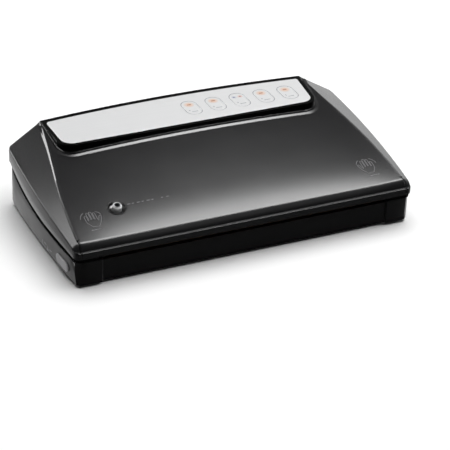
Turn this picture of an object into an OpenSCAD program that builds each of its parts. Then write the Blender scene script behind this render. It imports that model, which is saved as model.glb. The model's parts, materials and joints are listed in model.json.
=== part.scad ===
// Countertop vacuum sealer: a low base and a full-width lid hinged along the rear edge.
// +X is the right-hand end, +Y the rear, +Z up. The origin is at the centre of the
// footprint, on the surface that the feet stand on. Millimetres.

/* [Body] */
// Width across the bowed ends
body_w = 390; // [388:1:394]
// Depth from the front lip to the middle of the rear edge
body_d = 211; // [210:0.5:213]
// Height of the control panel above the surface
body_h = 88; // [88:0.5:90]
// Height of the rubber feet
foot_h = 3; // [2:0.5:4]
// Wall of the outer mouldings
wall = 2.5; // [2.2:0.1:2.8]

/* [Seam between base and lid] */
// Height of the base's upper edge along the front
seam_z = 30; // [29:0.5:30]
// Gap that the resting lid leaves above the base
lid_gap = 4; // [3.5:0.1:4]
// Where the seam starts to rise towards the rear
seam_flat_y = -35; // [-40:1:-30]
// Radius of the rising part of the seam
seam_r = 450; // [440:5:470]

/* [Lid shape] */
// Height of the thin lip along the lid's front edge
lip_z = 41.3; // [41:0.1:42]
// Radius of the rolled front edge
roll_r = 8; // [6:0.5:9]
// Fall of the side facets per millimetre outwards
facet_fall = 0.62; // [0.61:0.005:0.63]

/* [Controls] */
// Width of one oval key
key_w = 16.8; // [15:0.2:18]
// Length of one oval key
key_l = 31; // [28:0.5:33]
// Spacing of the keys
key_pitch = 28.5; // [27:0.5:29]
// Travel of a key
key_travel = 0.8; // [0.4:0.1:0.8]

/* [Sealing] */
// Half length of the heating element
seal_half = 155; // [140:1:156]
// Half width of the vacuum channel
channel_half = 152; // [140:1:152]
// Depth of the vacuum channel below the deck
channel_depth = 14; // [12:1:15]
// Width of each gasket
gasket_w = 5; // [4:0.5:6]

/* [Hinge and latches] */
// Height of the hinge axis
hinge_z = 49.5; // [49:0.5:50]
// Distance of each hinge from the middle
hinge_x = 75; // [60:1:80]
// Radius of a hinge pin
pin_r = 1.5; // [1.2:0.1:1.8]
// Running clearance of the pins, on the radius
pin_play = 0.05; // [0.02:0.01:0.1]
// Travel of a release button
release_travel = 2.5; // [2:0.1:2.5]

/* [Accessory port] */
// Radius of the bore that takes a canister hose
port_bore_r = 3.3; // [3:0.1:3.6]
// Outer radius of the port's nozzle
port_r = 5; // [4.8:0.1:5.2]
// Radius of the ring that the nozzle stands in
port_ring_r = 9.7; // [9:0.1:10]

/* [Console] */
// Distance of the panel's rear edge behind the middle
panel_rear_y = 99.2; // [98:0.1:100.6]
// Half width of the panel at its rear
panel_half = 149.5; // [147:0.5:150]
// Width of the gloss border round the panel
bezel_w = 4.4; // [4:0.1:4.6]

/* [Hidden] */

$fn = 64;
long_fn = 1440;
// Reach of the shapes that only cut
far = 220;
fit_gap = 0.3;
front_y = -body_d / 2;
rear_y = body_d / 2;
half_w = body_w / 2;
// Bowed ends and rear edge
end_r = 1460;
end_mid_y = 3;
rear_r = 1400;
// Base, a little narrower than the lid
base_inset = 1;
deck_drop = 2;
deck_t = 2.2;
deck_z = seam_z - deck_drop;
rim_w = 3.2;
plate_t = 2;
shelf_y = 89;
shelf_z = 44.5;
mouth_half = 161;
mouth_depth = 2.7;
// Lid
lid_rear_z = 51.5;
liner_lift = 1;
liner_t = 2.5;
facet_a = atan(facet_fall);
// Arc of a side facet, in the section square to its fall
facet_r = 1470;
facet_mid_y = 140;
facet_top = 158;
// Console
panel_front_y = 36.2;
panel_corner_r = 12.5;
// How much further in the panel's left and right ends lie at its front
end_slant = [1, 8.5];
opening_gap = 1.3;
bezel_floor = 3;
panel_t = 0.8;
console_cut_z = 72;
board_z = 74;
board_t = 1.6;
tact_h = 4.3;
board_post_x = [-9, 135.2];
board_post_r = 2.2;
board_post_y = [49, 85];
board_x = [-14, 139];
board_y = [46, 88];
bezel_floor_z = body_h - panel_t - bezel_floor;
key_x0 = 9.6;
key_y0 = 67.3;
key_arc = 4500;
key_gap = 0.25;
key_flange = 1.5;
stem_r = 2;
light_dy = 7.3;
light_dx = 3.6;
light_floor_z = 85;
switch_w = 6;
switch_h = 3.5;
// Gasket loop
loop_x = 159;
loop_y0 = -77;
loop_y1 = -41;
groove_d = 1;
// Vacuum channel
channel_y0 = -72;
channel_y1 = -46;
tub_wall = 2;
tray_wall = 1.5;
// Seal bar
seal_y = -92.5;
seal_w = 7;
seal_floor = 20;
carrier_wall = 2;
strip_w = 5;
strip_t = 0.3;
tape_w = 10;
tape_t = 0.2;
pad_w = 8;
// Latch
latch_y = -69;
latch_x = 172;
hook_t = 2.4;
hook_barb = 3;
hook_tip_z = 22;
slide_z = 18.4;
slide_t = 3;
slide_w = 14;
slide_x = 163;
guide_x = [164, 178];
guide_z = 15.6;
guide_w = 2;
spring_r = 1.05;
spring_l = 10.5;
spring_x = 154.2;
// Release buttons
button_z = 13.4;
button_x = 186.8;
button_face_x = 192.8;
button_l = 29;
button_h = 10.6;
// Hinges
hinge_y = 101;
knuckle_r = 3.7;
bracket_dx = 7.7;
bracket_t = 3;
hinge_sheet = 1.5;
leaf_w = 12;
leaf_y = [97.4, 99.9];
leaf_top = 66;
// Screws
screw_r = 1.3;
head_r = 3;
head_t = 1;
screw_hole_r = 1.7;
post_r = 4;
// Accessory port, square to the lid's slope
port_x = -128.2;
port_y = -58.8;
port_slope = 13;
// Feet
foot_r = 8;
foot_edge = 0.8;
foot_x = 160;
foot_y = 78;
// Pump, in the raised rear of the base
motor_y = 62;
motor_z = 17.7;
motor_x = -88;
motor_r = 12.5;
motor_l = 33;
can_t = 2;
shaft_r = 1;
eccentric = 1.2;
pump_x = [-55, -22];
pump_y = [46, 78];
pump_mid_x = -38.5;
pump_wall = 3;
pump_floor_z = 8;
pump_deck_z = 25;
diaphragm_t = 1.2;
head_h = 6;
outlet_x = [-46, -30];
// Power board on its standoffs
supply_x = [10, 100];
supply_y = [-4, 60];
standoff_x = [16, 94];
standoff_y = [2, 54];
standoff_h = 4;
capacitor_r = 5;
capacitor_h = 16;
// Transformer
core_x = [118, 158];
core_y = [56, 72];
core_top = 31;
core_leg = 5;
window_w = 9;
window_z = [10, 26];
coil_bulge = 7;
// Mains inlet in the rear wall
inlet_x = [96, 122];
inlet_z = [12, 28];
inlet_y = [86, 99];
inlet_gap = 0.4;
pin_x = [105, 113];
pin_z = 20;
socket_r = 4.6;
mains_pin_r = 1.2;

// ---- Curves that the mouldings share ----

// Height of the base's upper edge
function seam_at(y) = y < seam_flat_y ? seam_z
    : seam_z + seam_r - sqrt(seam_r * seam_r - pow(y - seam_flat_y, 2));
// Height of the lid's main surface along its edges, t = 0 at the front and 1 near the rear
function depth_t(y) = (y - front_y) / 199;
function lid_at(y) = let (t = depth_t(y)) 47 + 46.3 * t - 1.1 * t * t - 4.9 * t * t * t;
// Height at which a side facet would meet the middle plane
function facet_at(y) = (facet_top - facet_r + sqrt(facet_r * facet_r - pow(y - facet_mid_y, 2)))
    / cos(facet_a);
// Distance from the middle at which the main surface meets a facet
function crease_at(y) = (facet_at(y) - lid_at(y)) / facet_fall;
// Keys stand on a shallow arc
function key_x(i) = key_x0 + i * key_pitch;
function key_y(i) = key_y0 - key_x(i) * key_x(i) / key_arc;

// ---- Shared shapes ----

module across(points) {
    rotate([90, 0, 90]) translate([0, 0, -far]) linear_extrude(2 * far) polygon(points);
}

module plan(inset = 0) {
    f = front_y + inset;
    h = half_w - inset;
    intersection() {
        translate([half_w - end_r, end_mid_y]) circle(r = end_r - inset, $fn = long_fn);
        translate([end_r - half_w, end_mid_y]) circle(r = end_r - inset, $fn = long_fn);
        translate([0, rear_y - rear_r]) circle(r = rear_r - inset, $fn = long_fn);
        polygon([
            [10 - h, f], [h - 10, f], [h - 4.5, f + 6], [h + 1, f + 40], [h + 1, 60],
            [h - 2.4, 84.5 - inset], [h - 10.5, 94 - inset], [h - 14, rear_y + 2],
            [14 - h, rear_y + 2], [10.5 - h, 94 - inset], [2.4 - h, 84.5 - inset],
            [-h - 1, 60], [-h - 1, f + 40], [4.5 - h, f + 6]]);
    }
}

module plan_solid(inset, z0, z1) {
    translate([0, 0, z0]) linear_extrude(z1 - z0) plan(inset);
}

module block(x0, x1, y0, y1, z0, z1) {
    translate([x0, y0, z0]) cube([x1 - x0, y1 - y0, z1 - z0]);
}

module both_sides() {
    children();
    mirror([1, 0, 0]) children();
}

module front_and_rear() {
    children();
    mirror([0, 1, 0]) children();
}

module stadium(w, l) {
    square([w, l - w], center = true);
    for (s = [-1, 1]) translate([0, s * (l - w) / 2]) circle(d = w);
}

module round_rect(half_x, y0, y1, r) {
    square_w = 2 * (half_x - r);
    translate([-half_x + r, y0]) square([square_w, y1 - y0]);
    translate([-half_x, y0 + r]) square([2 * half_x, y1 - y0 - 2 * r]);
    for (x = [r - half_x, half_x - r], y = [y0 + r, y1 - r]) translate([x, y]) circle(r = r);
}

module loop_solid(outset, w, z0, z1, r = 9) {
    translate([0, 0, z0]) linear_extrude(z1 - z0) difference() {
        round_rect(loop_x + outset + w, loop_y0 - outset - w, loop_y1 + outset + w, r + w);
        round_rect(loop_x + outset, loop_y0 - outset, loop_y1 + outset, r);
    }
}

// Everything under the base's upper edge, with the shelf for the hinges at the rear
module below_seam(offset = 0) {
    across(concat(
        [[front_y - 5, -1], [front_y - 5, seam_z + offset]],
        [for (i = [0:12]) let (y = seam_flat_y + i * (shelf_y - seam_flat_y) / 12)
            [y, seam_at(y) + offset]],
        [[shelf_y, shelf_z + offset], [rear_y + 5, shelf_z + offset], [rear_y + 5, -1]]));
}

// Everything under the lid's lower edge, raised at the rear to clear the base as it turns
module below_lid(lift = 0) {
    across(concat(
        [[front_y - 5, -1], [front_y - 5, seam_z + lid_gap + lift]],
        [for (i = [0:12]) let (y = seam_flat_y + i * (shelf_y - seam_flat_y) / 12)
            [y, seam_at(y) + lid_gap + lift]],
        [[rear_y + 5, lid_rear_z + lift], [rear_y + 5, -1]]));
}

// Main slope of the lid with its rolled front edge
module below_slope(offset = 0) {
    f = front_y + offset;
    roll_y = front_y + 0.8 + roll_r;
    slope = atan(lid_at(-95) - lid_at(-96));
    roll_z = lid_at(roll_y) - roll_r / cos(slope);
    r = roll_r - offset;
    across(concat(
        [[f, 10], [f, lip_z - 0.5], [f + 0.8, lip_z - 0.1]],
        [for (i = [0:8]) let (a = 180 - i * (90 - slope) / 8)
            [roll_y + r * cos(a), roll_z + r * sin(a)]],
        [for (i = [1:16]) let (y = -98 + i * (rear_y + 98) / 16) [y, lid_at(y) - offset]],
        [[rear_y + 5, lid_at(rear_y) - offset], [rear_y + 5, 10]]));
}

// One side facet: a long arc swept outwards and down
module below_facet(offset = 0) {
    rotate([0, facet_a, 0]) rotate([90, 0, 90]) translate([0, 0, -300]) linear_extrude(600)
        intersection() {
            translate([facet_mid_y, facet_top - facet_r])
                circle(r = facet_r - offset, $fn = 2 * long_fn);
            translate([-130, -160]) square([260, 400]);
        }
}

module lid_solid(offset = 0) {
    intersection() {
        plan_solid(offset, 10, body_h - offset);
        below_slope(offset);
        both_facets(offset);
    }
}

module both_facets(offset) {
    intersection() {
        below_facet(offset);
        mirror([1, 0, 0]) below_facet(offset);
    }
}

// The part of the lid between its two creases
module between_creases(gap) {
    right = [for (i = [0:16]) let (y = -112 + i * 14) [crease_at(y) + gap, y]];
    left = [for (i = [16:-1:0]) [-right[i][0], right[i][1]]];
    linear_extrude(100) polygon(concat(right, left));
}

module lid_skin() {
    difference() {
        lid_solid(0);
        lid_solid(wall);
        below_lid();
    }
}

// Outline of the panel, grown by outset, with rounded front corners; it runs on past the rear edge
module console_outline(outset) {
    r = panel_corner_r + outset;
    slant = [for (i = [0, 1]) atan(end_slant[i] / (panel_rear_y - panel_front_y))];
    middle = [for (i = [0, 1]) [(2 * i - 1)
        * (panel_half - end_slant[i] - panel_corner_r * (1 - tan(slant[i]))),
        panel_front_y + panel_corner_r]];
    front = [for (i = [0, 1]) middle[i] + r * [(2 * i - 1) * cos(slant[i]), -sin(slant[i])]];
    rear = [for (i = [0, 1]) front[i] + rear_y * [(2 * i - 1) * sin(slant[i]), cos(slant[i])]];
    polygon([middle[0] - [0, r], middle[1] - [0, r], front[1], rear[1], rear[0], front[0]]);
    for (i = [0, 1]) translate(middle[i]) circle(r = r);
}

module console_plan(outset) {
    intersection() {
        plan(0);
        console_outline(outset);
    }
}

module panel_plan() {
    intersection() {
        translate([0, panel_rear_y - rear_r]) circle(r = rear_r, $fn = long_fn);
        console_outline(0);
        polygon([[-panel_half, 0], [panel_half, 0], [panel_half, 88], [panel_half - 7, 97],
            [panel_half - 7, 120], [7 - panel_half, 120], [7 - panel_half, 97], [-panel_half, 88]]);
    }
}

module key_holes(grow, z0, z1) {
    for (i = [0:4]) translate([key_x(i), key_y(i), z0])
        linear_extrude(z1 - z0) stadium(key_w + 2 * grow, key_l + 2 * grow);
}

module at_port() {
    translate([port_x, port_y, lid_at(port_y)]) rotate([port_slope, 0, 0]) children();
}

// Along the hose, from the pump's barb to the channel's barb
hose_x = -38;
hose_y = [38, -33];
hose_z = [25.6, 19.6];
hose_fall = atan((hose_z[0] - hose_z[1]) / (hose_y[0] - hose_y[1]));
hose_len = (hose_y[0] - hose_y[1]) / cos(hose_fall);
hose_r = 3.2;
barb_r = 2;
barb_bore_r = 1.2;
barb_root = 6.5;
barb_l = 6;
module along_hose() {
    translate([hose_x, hose_y[0], hose_z[0]]) rotate([90 + hose_fall, 0, 0]) children();
}

// ---- Base ----

module base_shell() color("#1b1c1e") difference() {
    union() {
        difference() {
            intersection() {
                plan_solid(base_inset, foot_h, 60);
                below_seam();
            }
            // Hollow under the deck
            intersection() {
                plan_solid(base_inset + wall, foot_h - 1, 60);
                block(-far, far, front_y + base_inset + wall + mouth_depth, rear_y, 0, far);
                below_seam(-deck_drop - deck_t);
            }
            // Deck, lower than the rim around it
            difference() {
                plan_solid(base_inset + rim_w, 10, 60);
                below_seam(-deck_drop);
                block(-far, far, front_y, front_y + base_inset + 5, 0, far);
                block(-far, far, shelf_y, rear_y, 0, far);
            }
            // Recess between the corner blocks, where the bag lies
            block(-mouth_half, mouth_half, front_y - 1, front_y + base_inset + mouth_depth, 0, far);
            block(-mouth_half, mouth_half, front_y - 1, front_y + 9, deck_z, far);
        }
        // Tub for the vacuum channel
        block(-channel_half - tub_wall, channel_half + tub_wall, channel_y0 - tub_wall,
            channel_y1 + tub_wall, deck_z - channel_depth - tub_wall, deck_z);
        // Carrier pocket for the seal bar
        block(-seal_half - 3, seal_half + 3, seal_y - seal_w / 2 - carrier_wall,
            seal_y + seal_w / 2 + carrier_wall, seal_floor - carrier_wall, deck_z);
        screw_posts();
        slide_guides();
        // Hose barb of the channel
        along_hose() translate([0, 0, hose_len - barb_l]) cylinder(r = barb_r, h = 20);
    }
    block(-channel_half, channel_half, channel_y0, channel_y1, deck_z - channel_depth, far);
    block(-seal_half - 0.2, seal_half + 0.2, seal_y - seal_w / 2 - 0.1, seal_y + seal_w / 2 + 0.1,
        seal_floor, far);
    hose_bore();
    loop_solid(-0.1, gasket_w + 0.2, deck_z - groove_d, deck_z + 10);
    both_sides() {
        // Slot for the latch hook and hole for the release button
        block(latch_x - 4, latch_x + 5.5, latch_y - 7, latch_y + 7, 22, far);
        translate([180, latch_y, button_z]) rotate([90, 0, 90])
            linear_extrude(20) stadium_flat(button_l + 2 * fit_gap, button_h + 2 * fit_gap);
    }
    // Opening for the power inlet
    block(inlet_x[0], inlet_x[1], 90, 110, inlet_z[0], inlet_z[1]);
    for (p = post_xy) translate([p[0], p[1], foot_h]) cylinder(r = screw_r, h = 14);
}

module hose_bore() {
    along_hose() translate([0, 0, hose_len - 8]) cylinder(r = barb_bore_r, h = 24);
}

module stadium_flat(l, h) {
    rotate(90) stadium(h, l);
}

post_xy = [[-178, -92], [178, -92], [-176, 72], [176, 72], [-60, -22], [60, -22]];

module screw_posts() {
    for (p = post_xy) translate([p[0], p[1], foot_h + plate_t])
        cylinder(r = post_r, h = seam_at(p[1]) - deck_drop - deck_t / 2 - foot_h - plate_t);
}

// Rails that carry the latch slides under the deck
module slide_guides() {
    inside = slide_w / 2 + fit_gap;
    both_sides() translate([0, latch_y, 0]) front_and_rear() {
        block(guide_x[0], guide_x[1], inside, inside + guide_w, guide_z, deck_z - 1);
        block(guide_x[0], guide_x[1], inside - 1.8, inside + guide_w, guide_z, slide_z - 0.2);
    }
}

module base_plate() color("#232426") difference() {
    union() {
        intersection() {
            plan_solid(base_inset + wall + fit_gap, foot_h, foot_h + plate_t);
            block(-far, far, front_y + base_inset + wall + mouth_depth + fit_gap, rear_y, 0, far);
        }
        // Standoffs for the power board
        for (x = standoff_x, y = standoff_y) translate([x, y, foot_h + plate_t])
            cylinder(r = 3, h = standoff_h);
    }
    for (p = post_xy) translate([p[0], p[1], 0]) cylinder(r = screw_hole_r, h = 20);
    for (p = post_xy) translate([p[0], p[1], 0]) cylinder(r = head_r + 0.2, h = foot_h + head_t);
    // Cooling slots
    for (x = [112:6:154]) block(x, x + 3, 20, 60, 0, 20);
}

module rubber_feet() color("#2a2a2a") both_sides() for (y = [-foot_y, foot_y])
    translate([foot_x, y, 0]) rotate_extrude() polygon([
        [0, 0], [foot_r - foot_edge, 0], [foot_r, foot_edge], [foot_r, foot_h], [0, foot_h]]);

module base_screws() color("silver") for (p = post_xy) translate([p[0], p[1], foot_h]) {
    cylinder(r = head_r, h = head_t);
    translate([0, 0, head_t]) cylinder(r = screw_r, h = 11);
}

module drip_tray() color("#303134") difference() {
    block(fit_gap - channel_half, channel_half - fit_gap, channel_y0 + fit_gap, channel_y1 - fit_gap,
        deck_z - channel_depth, deck_z + 0.6);
    block(-channel_half + tray_wall, channel_half - tray_wall, channel_y0 + tray_wall,
        channel_y1 - tray_wall, deck_z - channel_depth + tray_wall, deck_z + 1);
    hose_bore();
}

module lower_gasket() color("#4a4c50")
    loop_solid(0, gasket_w, deck_z - groove_d, deck_z + 2.9);

strip_z = deck_z + 0.5;
module seal_bar() color("#c9c4b8") block(-seal_half, seal_half, seal_y - seal_w / 2,
    seal_y + seal_w / 2, seal_floor, strip_z);

module heating_strip() color("#b8b8b8") block(-seal_half, seal_half, seal_y - strip_w / 2,
    seal_y + strip_w / 2, strip_z, strip_z + strip_t);

module ptfe_tape() color("#b59a6a") block(-seal_half - 4, seal_half + 4, seal_y - tape_w / 2,
    seal_y + tape_w / 2, strip_z + strip_t, strip_z + strip_t + tape_t);

// ---- Hinges ----

module on_hinge(x) {
    translate([x, hinge_y, hinge_z]) rotate([0, 90, 0]) children();
}

module hinge_brackets() color("#8d9094") both_sides() for (s = [-1, 1]) difference() {
    union() {
        on_hinge(hinge_x + s * bracket_dx - bracket_t / 2) cylinder(r = knuckle_r, h = bracket_t);
        block(hinge_x + s * bracket_dx - bracket_t / 2, hinge_x + s * bracket_dx + bracket_t / 2,
            hinge_y - knuckle_r, hinge_y + hinge_sheet, shelf_z, hinge_z);
        translate([hinge_x + s * 9.6 - 3.4, 91, shelf_z])
            cube([6.8, hinge_y + hinge_sheet - 91, hinge_sheet]);
    }
    on_hinge(hinge_x - 20) cylinder(r = pin_r, h = 40);
}

module hinge_pins() color("#c8ccd0") both_sides() on_hinge(hinge_x - 10) cylinder(r = pin_r, h = 20);

module hinge_leaves() color("#8d9094") both_sides() difference() {
    union() {
        on_hinge(hinge_x - leaf_w / 2) cylinder(r = knuckle_r, h = leaf_w);
        block(hinge_x - leaf_w / 2, hinge_x + leaf_w / 2, leaf_y[0], leaf_y[1], hinge_z, leaf_top);
        block(hinge_x - 11, hinge_x + 11, leaf_y[0], leaf_y[1], leaf_top - 9, leaf_top);
    }
    on_hinge(hinge_x - 20) cylinder(r = pin_r + pin_play, h = 40);
}

// ---- Pump, power and switch inside the base ----

module pump_housing() color("#e8e6df") difference() {
    block(pump_x[0], pump_x[1], pump_y[0], pump_y[1], foot_h + plate_t, pump_deck_z);
    block(pump_x[0] + pump_wall, pump_x[1] - pump_wall, pump_y[0] + pump_wall, pump_y[1] - pump_wall,
        pump_floor_z, pump_deck_z + 1);
    on_motor_axis(pump_x[0] - 2) cylinder(r = 3, h = 6);
}

module on_motor_axis(x) {
    translate([x, motor_y, motor_z]) rotate([0, 90, 0]) children();
}

module pump_diaphragm() color("#3a3a3c") {
    block(pump_x[0], pump_x[1], pump_y[0], pump_y[1], pump_deck_z, pump_deck_z + diaphragm_t);
    translate([pump_mid_x, motor_y, pump_deck_z - 1.6]) cylinder(r = 5, h = 1.6);
}

head_z = pump_deck_z + diaphragm_t;
module pump_head() color("#dcdad2") difference() {
    union() {
        block(pump_x[0], pump_x[1], pump_y[0], pump_y[1], head_z, head_z + head_h);
        block(outlet_x[0], outlet_x[1], pump_y[0] - 4, pump_y[0], 20, head_z + head_h);
        along_hose() translate([0, 0, -barb_root]) cylinder(r = barb_r, h = barb_root + barb_l);
    }
    along_hose() translate([0, 0, -barb_l]) cylinder(r = barb_bore_r, h = 14);
    translate([pump_mid_x, motor_y, head_z - 1.2]) cylinder(r = 9, h = 4);
}

module pump_motor() color("#b9bcc0") difference() {
    union() {
        on_motor_axis(motor_x) cylinder(r = motor_r, h = motor_l);
        on_motor_axis(motor_x - 3) cylinder(r = 4, h = 3);
    }
    on_motor_axis(motor_x + 3) cylinder(r = motor_r - can_t, h = motor_l - 6);
    on_motor_axis(motor_x - 2) cylinder(r = shaft_r + pin_play, h = 40);
}

module pump_rotor() color("#8a5a2c") {
    on_motor_axis(motor_x - 1) cylinder(r = shaft_r, h = 56);
    on_motor_axis(motor_x + 6) cylinder(r = 9, h = 20);
    on_motor_axis(pump_mid_x - 4.5) translate([0, eccentric, 0]) cylinder(r = 4, h = 8);
}

module vacuum_hose() color("#d9dde0") difference() {
    along_hose() cylinder(r = hose_r, h = hose_len);
    along_hose() translate([0, 0, -1]) cylinder(r = barb_r, h = hose_len + 2);
}

supply_top = foot_h + plate_t + standoff_h + board_t;
module power_board() color("#1f6b3a") difference() {
    block(supply_x[0], supply_x[1], supply_y[0], supply_y[1], supply_top - board_t, supply_top);
    for (x = standoff_x, y = standoff_y) translate([x, y, 0]) cylinder(r = 1.6, h = 20);
}

// Three capacitors, a relay, a heat sink and a controller
module board_parts() color("#2b2f55") translate([0, 0, supply_top]) {
    for (x = [24, 39, 54]) translate([x, 46, 0]) cylinder(r = capacitor_r, h = capacitor_h);
    block(66, 86, 36, 52, 0, 15);
    block(20, 50, 6, 14, 0, 10);
    block(60, 78, 8, 20, 0, 9);
}

module transformer_core() color("#77797d") difference() {
    block(core_x[0], core_x[1], core_y[0], core_y[1], foot_h + plate_t, core_top);
    for (x = [core_x[0] + core_leg, core_x[1] - core_leg - window_w])
        block(x, x + window_w, core_y[0] - 1, core_y[1] + 1, window_z[0], window_z[1]);
}

module transformer_coil() color("#c08a3e") difference() {
    block(core_x[0] + core_leg + fit_gap, core_x[1] - core_leg - fit_gap, core_y[0] - coil_bulge,
        core_y[1] + coil_bulge, window_z[0] + fit_gap, window_z[1] - fit_gap);
    block(core_x[0] + core_leg + window_w - fit_gap, core_x[1] - core_leg - window_w + fit_gap,
        core_y[0] - fit_gap, core_y[1] + fit_gap, 0, far);
}

module power_inlet() color("#202022") difference() {
    union() {
        block(inlet_x[0] + inlet_gap, inlet_x[1] - inlet_gap, inlet_y[0], inlet_y[1],
            inlet_z[0] + inlet_gap, inlet_z[1] - inlet_gap);
        block(inlet_x[0] - 3, inlet_x[1] + 3, 94, 96, inlet_z[0] - 2, inlet_z[1] + 2);
    }
    // Figure-of-eight socket
    for (x = pin_x) translate([x, inlet_y[1] + 3, pin_z]) rotate([90, 0, 0])
        cylinder(r = socket_r, h = 11);
    block(pin_x[0], pin_x[1], inlet_y[1] - 8, inlet_y[1] + 1, pin_z - socket_r, pin_z + socket_r);
}

module inlet_pins() color("#c8ccd0") for (x = pin_x) translate([x, inlet_y[1] - 1.5, pin_z])
    rotate([90, 0, 0]) cylinder(r = mains_pin_r, h = 6.5);

module reed_switch() color("#e9e9ea")
    block(latch_x - 4, latch_x + 10, -45, -40, deck_z - deck_t - 4, deck_z - deck_t);

// ---- Release buttons and latch slides ----

// The button's face follows the bowed end of the base and stands a little proud of it
module release_button() difference() {
    translate([button_x, latch_y, button_z]) rotate([90, 0, 90]) linear_extrude(8)
        stadium_flat(button_l, button_h);
    translate([button_face_x, latch_y, 0]) rotate(-asin((end_mid_y - latch_y) / end_r))
        translate([0, -50, 0]) cube([20, 100, 50]);
}

module latch_slide() difference() {
    translate([0, latch_y, 0]) {
        block(slide_x, button_x, -slide_w / 2, slide_w / 2, slide_z, slide_z + slide_t);
        block(button_x - 2.8, button_x, -slide_w / 2, slide_w / 2, 9, slide_z + slide_t);
    }
    // Window that the hook passes through, and pocket for the return spring
    block(latch_x - 1.7, latch_x + hook_t + release_travel + 0.6, latch_y - 5.5, latch_y + 5.5,
        slide_z - 1, far);
    translate([slide_x - 1, latch_y, slide_z + slide_t / 2]) rotate([0, 90, 0])
        cylinder(r = spring_r + 0.15, h = 5.5);
}

module release_spring() translate([spring_x, latch_y, slide_z + slide_t / 2]) rotate([0, 90, 0])
    difference() {
        cylinder(r = spring_r, h = spring_l);
        translate([0, 0, -1]) cylinder(r = 0.6, h = spring_l + 2);
    }

module release_button_right() color("#8b8d90") release_button();
module release_button_left() color("#8b8d90") mirror([1, 0, 0]) release_button();
module latch_slide_right() color("#d8d4c8") latch_slide();
module latch_slide_left() color("#d8d4c8") mirror([1, 0, 0]) latch_slide();
module release_spring_right() color("silver") release_spring();
module release_spring_left() color("silver") mirror([1, 0, 0]) release_spring();

// ---- Lid ----

module lid_cover() color("#1d1e20") difference() {
    union() {
        intersection() {
            lid_skin();
            between_creases(-0.15);
        }
        difference() {
            lid_posts();
            below_lid(liner_lift + liner_t + 0.05);
            for (p = lid_screw_xy) translate([p[0], p[1], 0]) cylinder(r = lid_screw_r + 0.05, h = 64);
        }
    }
    // Opening for the console, through to the rear edge
    translate([0, 0, console_cut_z]) linear_extrude(30)
        console_outline(bezel_w + opening_gap);
    at_port() translate([0, 0, -10]) cylinder(r = port_ring_r + 0.1, h = 20);
    hinge_notches();
}

module hinge_notches() {
    both_sides() block(hinge_x - 14, hinge_x + 14, 96, 120, 40, 55);
}

module side_cap() difference() {
    lid_skin();
    between_creases(0.15);
    block(-far, 0, -far, far, 0, far);
}

module side_cap_right() color("#1d1e20") side_cap();
module side_cap_left() color("#1d1e20") mirror([1, 0, 0]) side_cap();

module console_bezel() color("#0b0b0c") difference() {
    translate([0, 0, console_cut_z]) linear_extrude(body_h - console_cut_z) console_plan(bezel_w);
    // Hollow below the floor, with posts for the board, and the recess that holds the panel flush
    difference() {
        translate([0, 0, console_cut_z - 1])
            linear_extrude(bezel_floor_z - console_cut_z + 1) intersection() {
                console_plan(bezel_w - 2);
                translate([0, rear_y - rear_r]) circle(r = rear_r - 2, $fn = long_fn);
            }
        for (x = board_post_x, y = board_post_y) translate([x, y, board_z + board_t])
            cylinder(r = board_post_r, h = 20);
    }
    translate([0, 0, body_h - panel_t]) linear_extrude(5) panel_plan();
    key_holes(key_gap + 0.2, 70, 100);
}

module control_panel() color("#d4d5d6") difference() {
    translate([0, 0, body_h - panel_t]) linear_extrude(panel_t) intersection() {
        panel_plan();
        translate([0, panel_rear_y - rear_r]) circle(r = rear_r - 0.1, $fn = long_fn);
    }
    key_holes(key_gap, 70, 100);
}

module liner_plan(inset) {
    intersection() {
        plan(inset);
        translate([-far, front_y + inset]) square([2 * far, 99.5 - front_y - inset]);
    }
}

module lid_liner() color("#2c2d30") difference() {
    intersection() {
        linear_extrude(80) liner_plan(wall + fit_gap);
        below_lid(liner_lift + liner_t);
    }
    below_lid(liner_lift);
    loop_solid(-0.1, gasket_w + 0.2, 20, liner_z() + groove_d);
    block(-seal_half - 4.2, seal_half + 4.2, seal_y - pad_w / 2 - 0.2, seal_y + pad_w / 2 + 0.2, 20,
        liner_z() + groove_d);
    at_port() translate([0, 0, -40]) cylinder(r = port_bore_r, h = 40);
    hinge_notches();
    for (p = lid_screw_xy) translate([p[0], p[1], 30]) cylinder(r = screw_hole_r, h = 60);
}

function liner_z() = seam_z + lid_gap + liner_lift;

module upper_gasket() color("#4a4c50")
    loop_solid(0, gasket_w, deck_z + 3.2, liner_z() + groove_d);

module pressure_strip() color("#8f4a3a") block(-seal_half - 4, seal_half + 4, seal_y - pad_w / 2,
    seal_y + pad_w / 2, deck_z + 1.6, liner_z() + groove_d);

// Hooks that snap into the slides' windows when the lid is pressed down
module latch_hooks() color("#d8d4c8") both_sides() {
    rotate([90, 0, 0]) translate([0, 0, -latch_y - 4]) linear_extrude(8) polygon([
        [latch_x, liner_z()], [latch_x, hook_tip_z + 3], [latch_x - hook_barb, hook_tip_z + 3],
        [latch_x - hook_barb + 0.8, hook_tip_z + 1], [latch_x, hook_tip_z],
        [latch_x + hook_t, hook_tip_z], [latch_x + hook_t, liner_z()]]);
    block(latch_x - 2, latch_x + 5, latch_y - 5, latch_y + 5, liner_z() - 1.2, liner_z());
}

lid_screw_xy = [[-168, -29], [168, -29], [-160, 45], [160, 45], [-60, -29], [60, -29]];
lid_screw_r = 1.5;
screw_seat = 0.8;
module lid_screws() color("silver") for (p = lid_screw_xy)
    translate([p[0], p[1], seam_at(p[1]) + lid_gap + liner_lift - head_t - screw_seat]) {
        cylinder(r = head_r, h = head_t);
        cylinder(r = lid_screw_r, h = 10);
    }

// Bosses inside the lid's cover that the screws hold the liner against
module lid_posts() {
    for (p = lid_screw_xy) intersection() {
        lid_solid(1);
        translate([p[0], p[1], 0]) cylinder(r = post_r, h = far);
    }
}

module lid_magnet() color("#a8aab0")
    block(latch_x - 2, latch_x + 8, -46, -38, liner_z() + liner_t, liner_z() + liner_t + 4);

// ---- Accessory port ----

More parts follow.
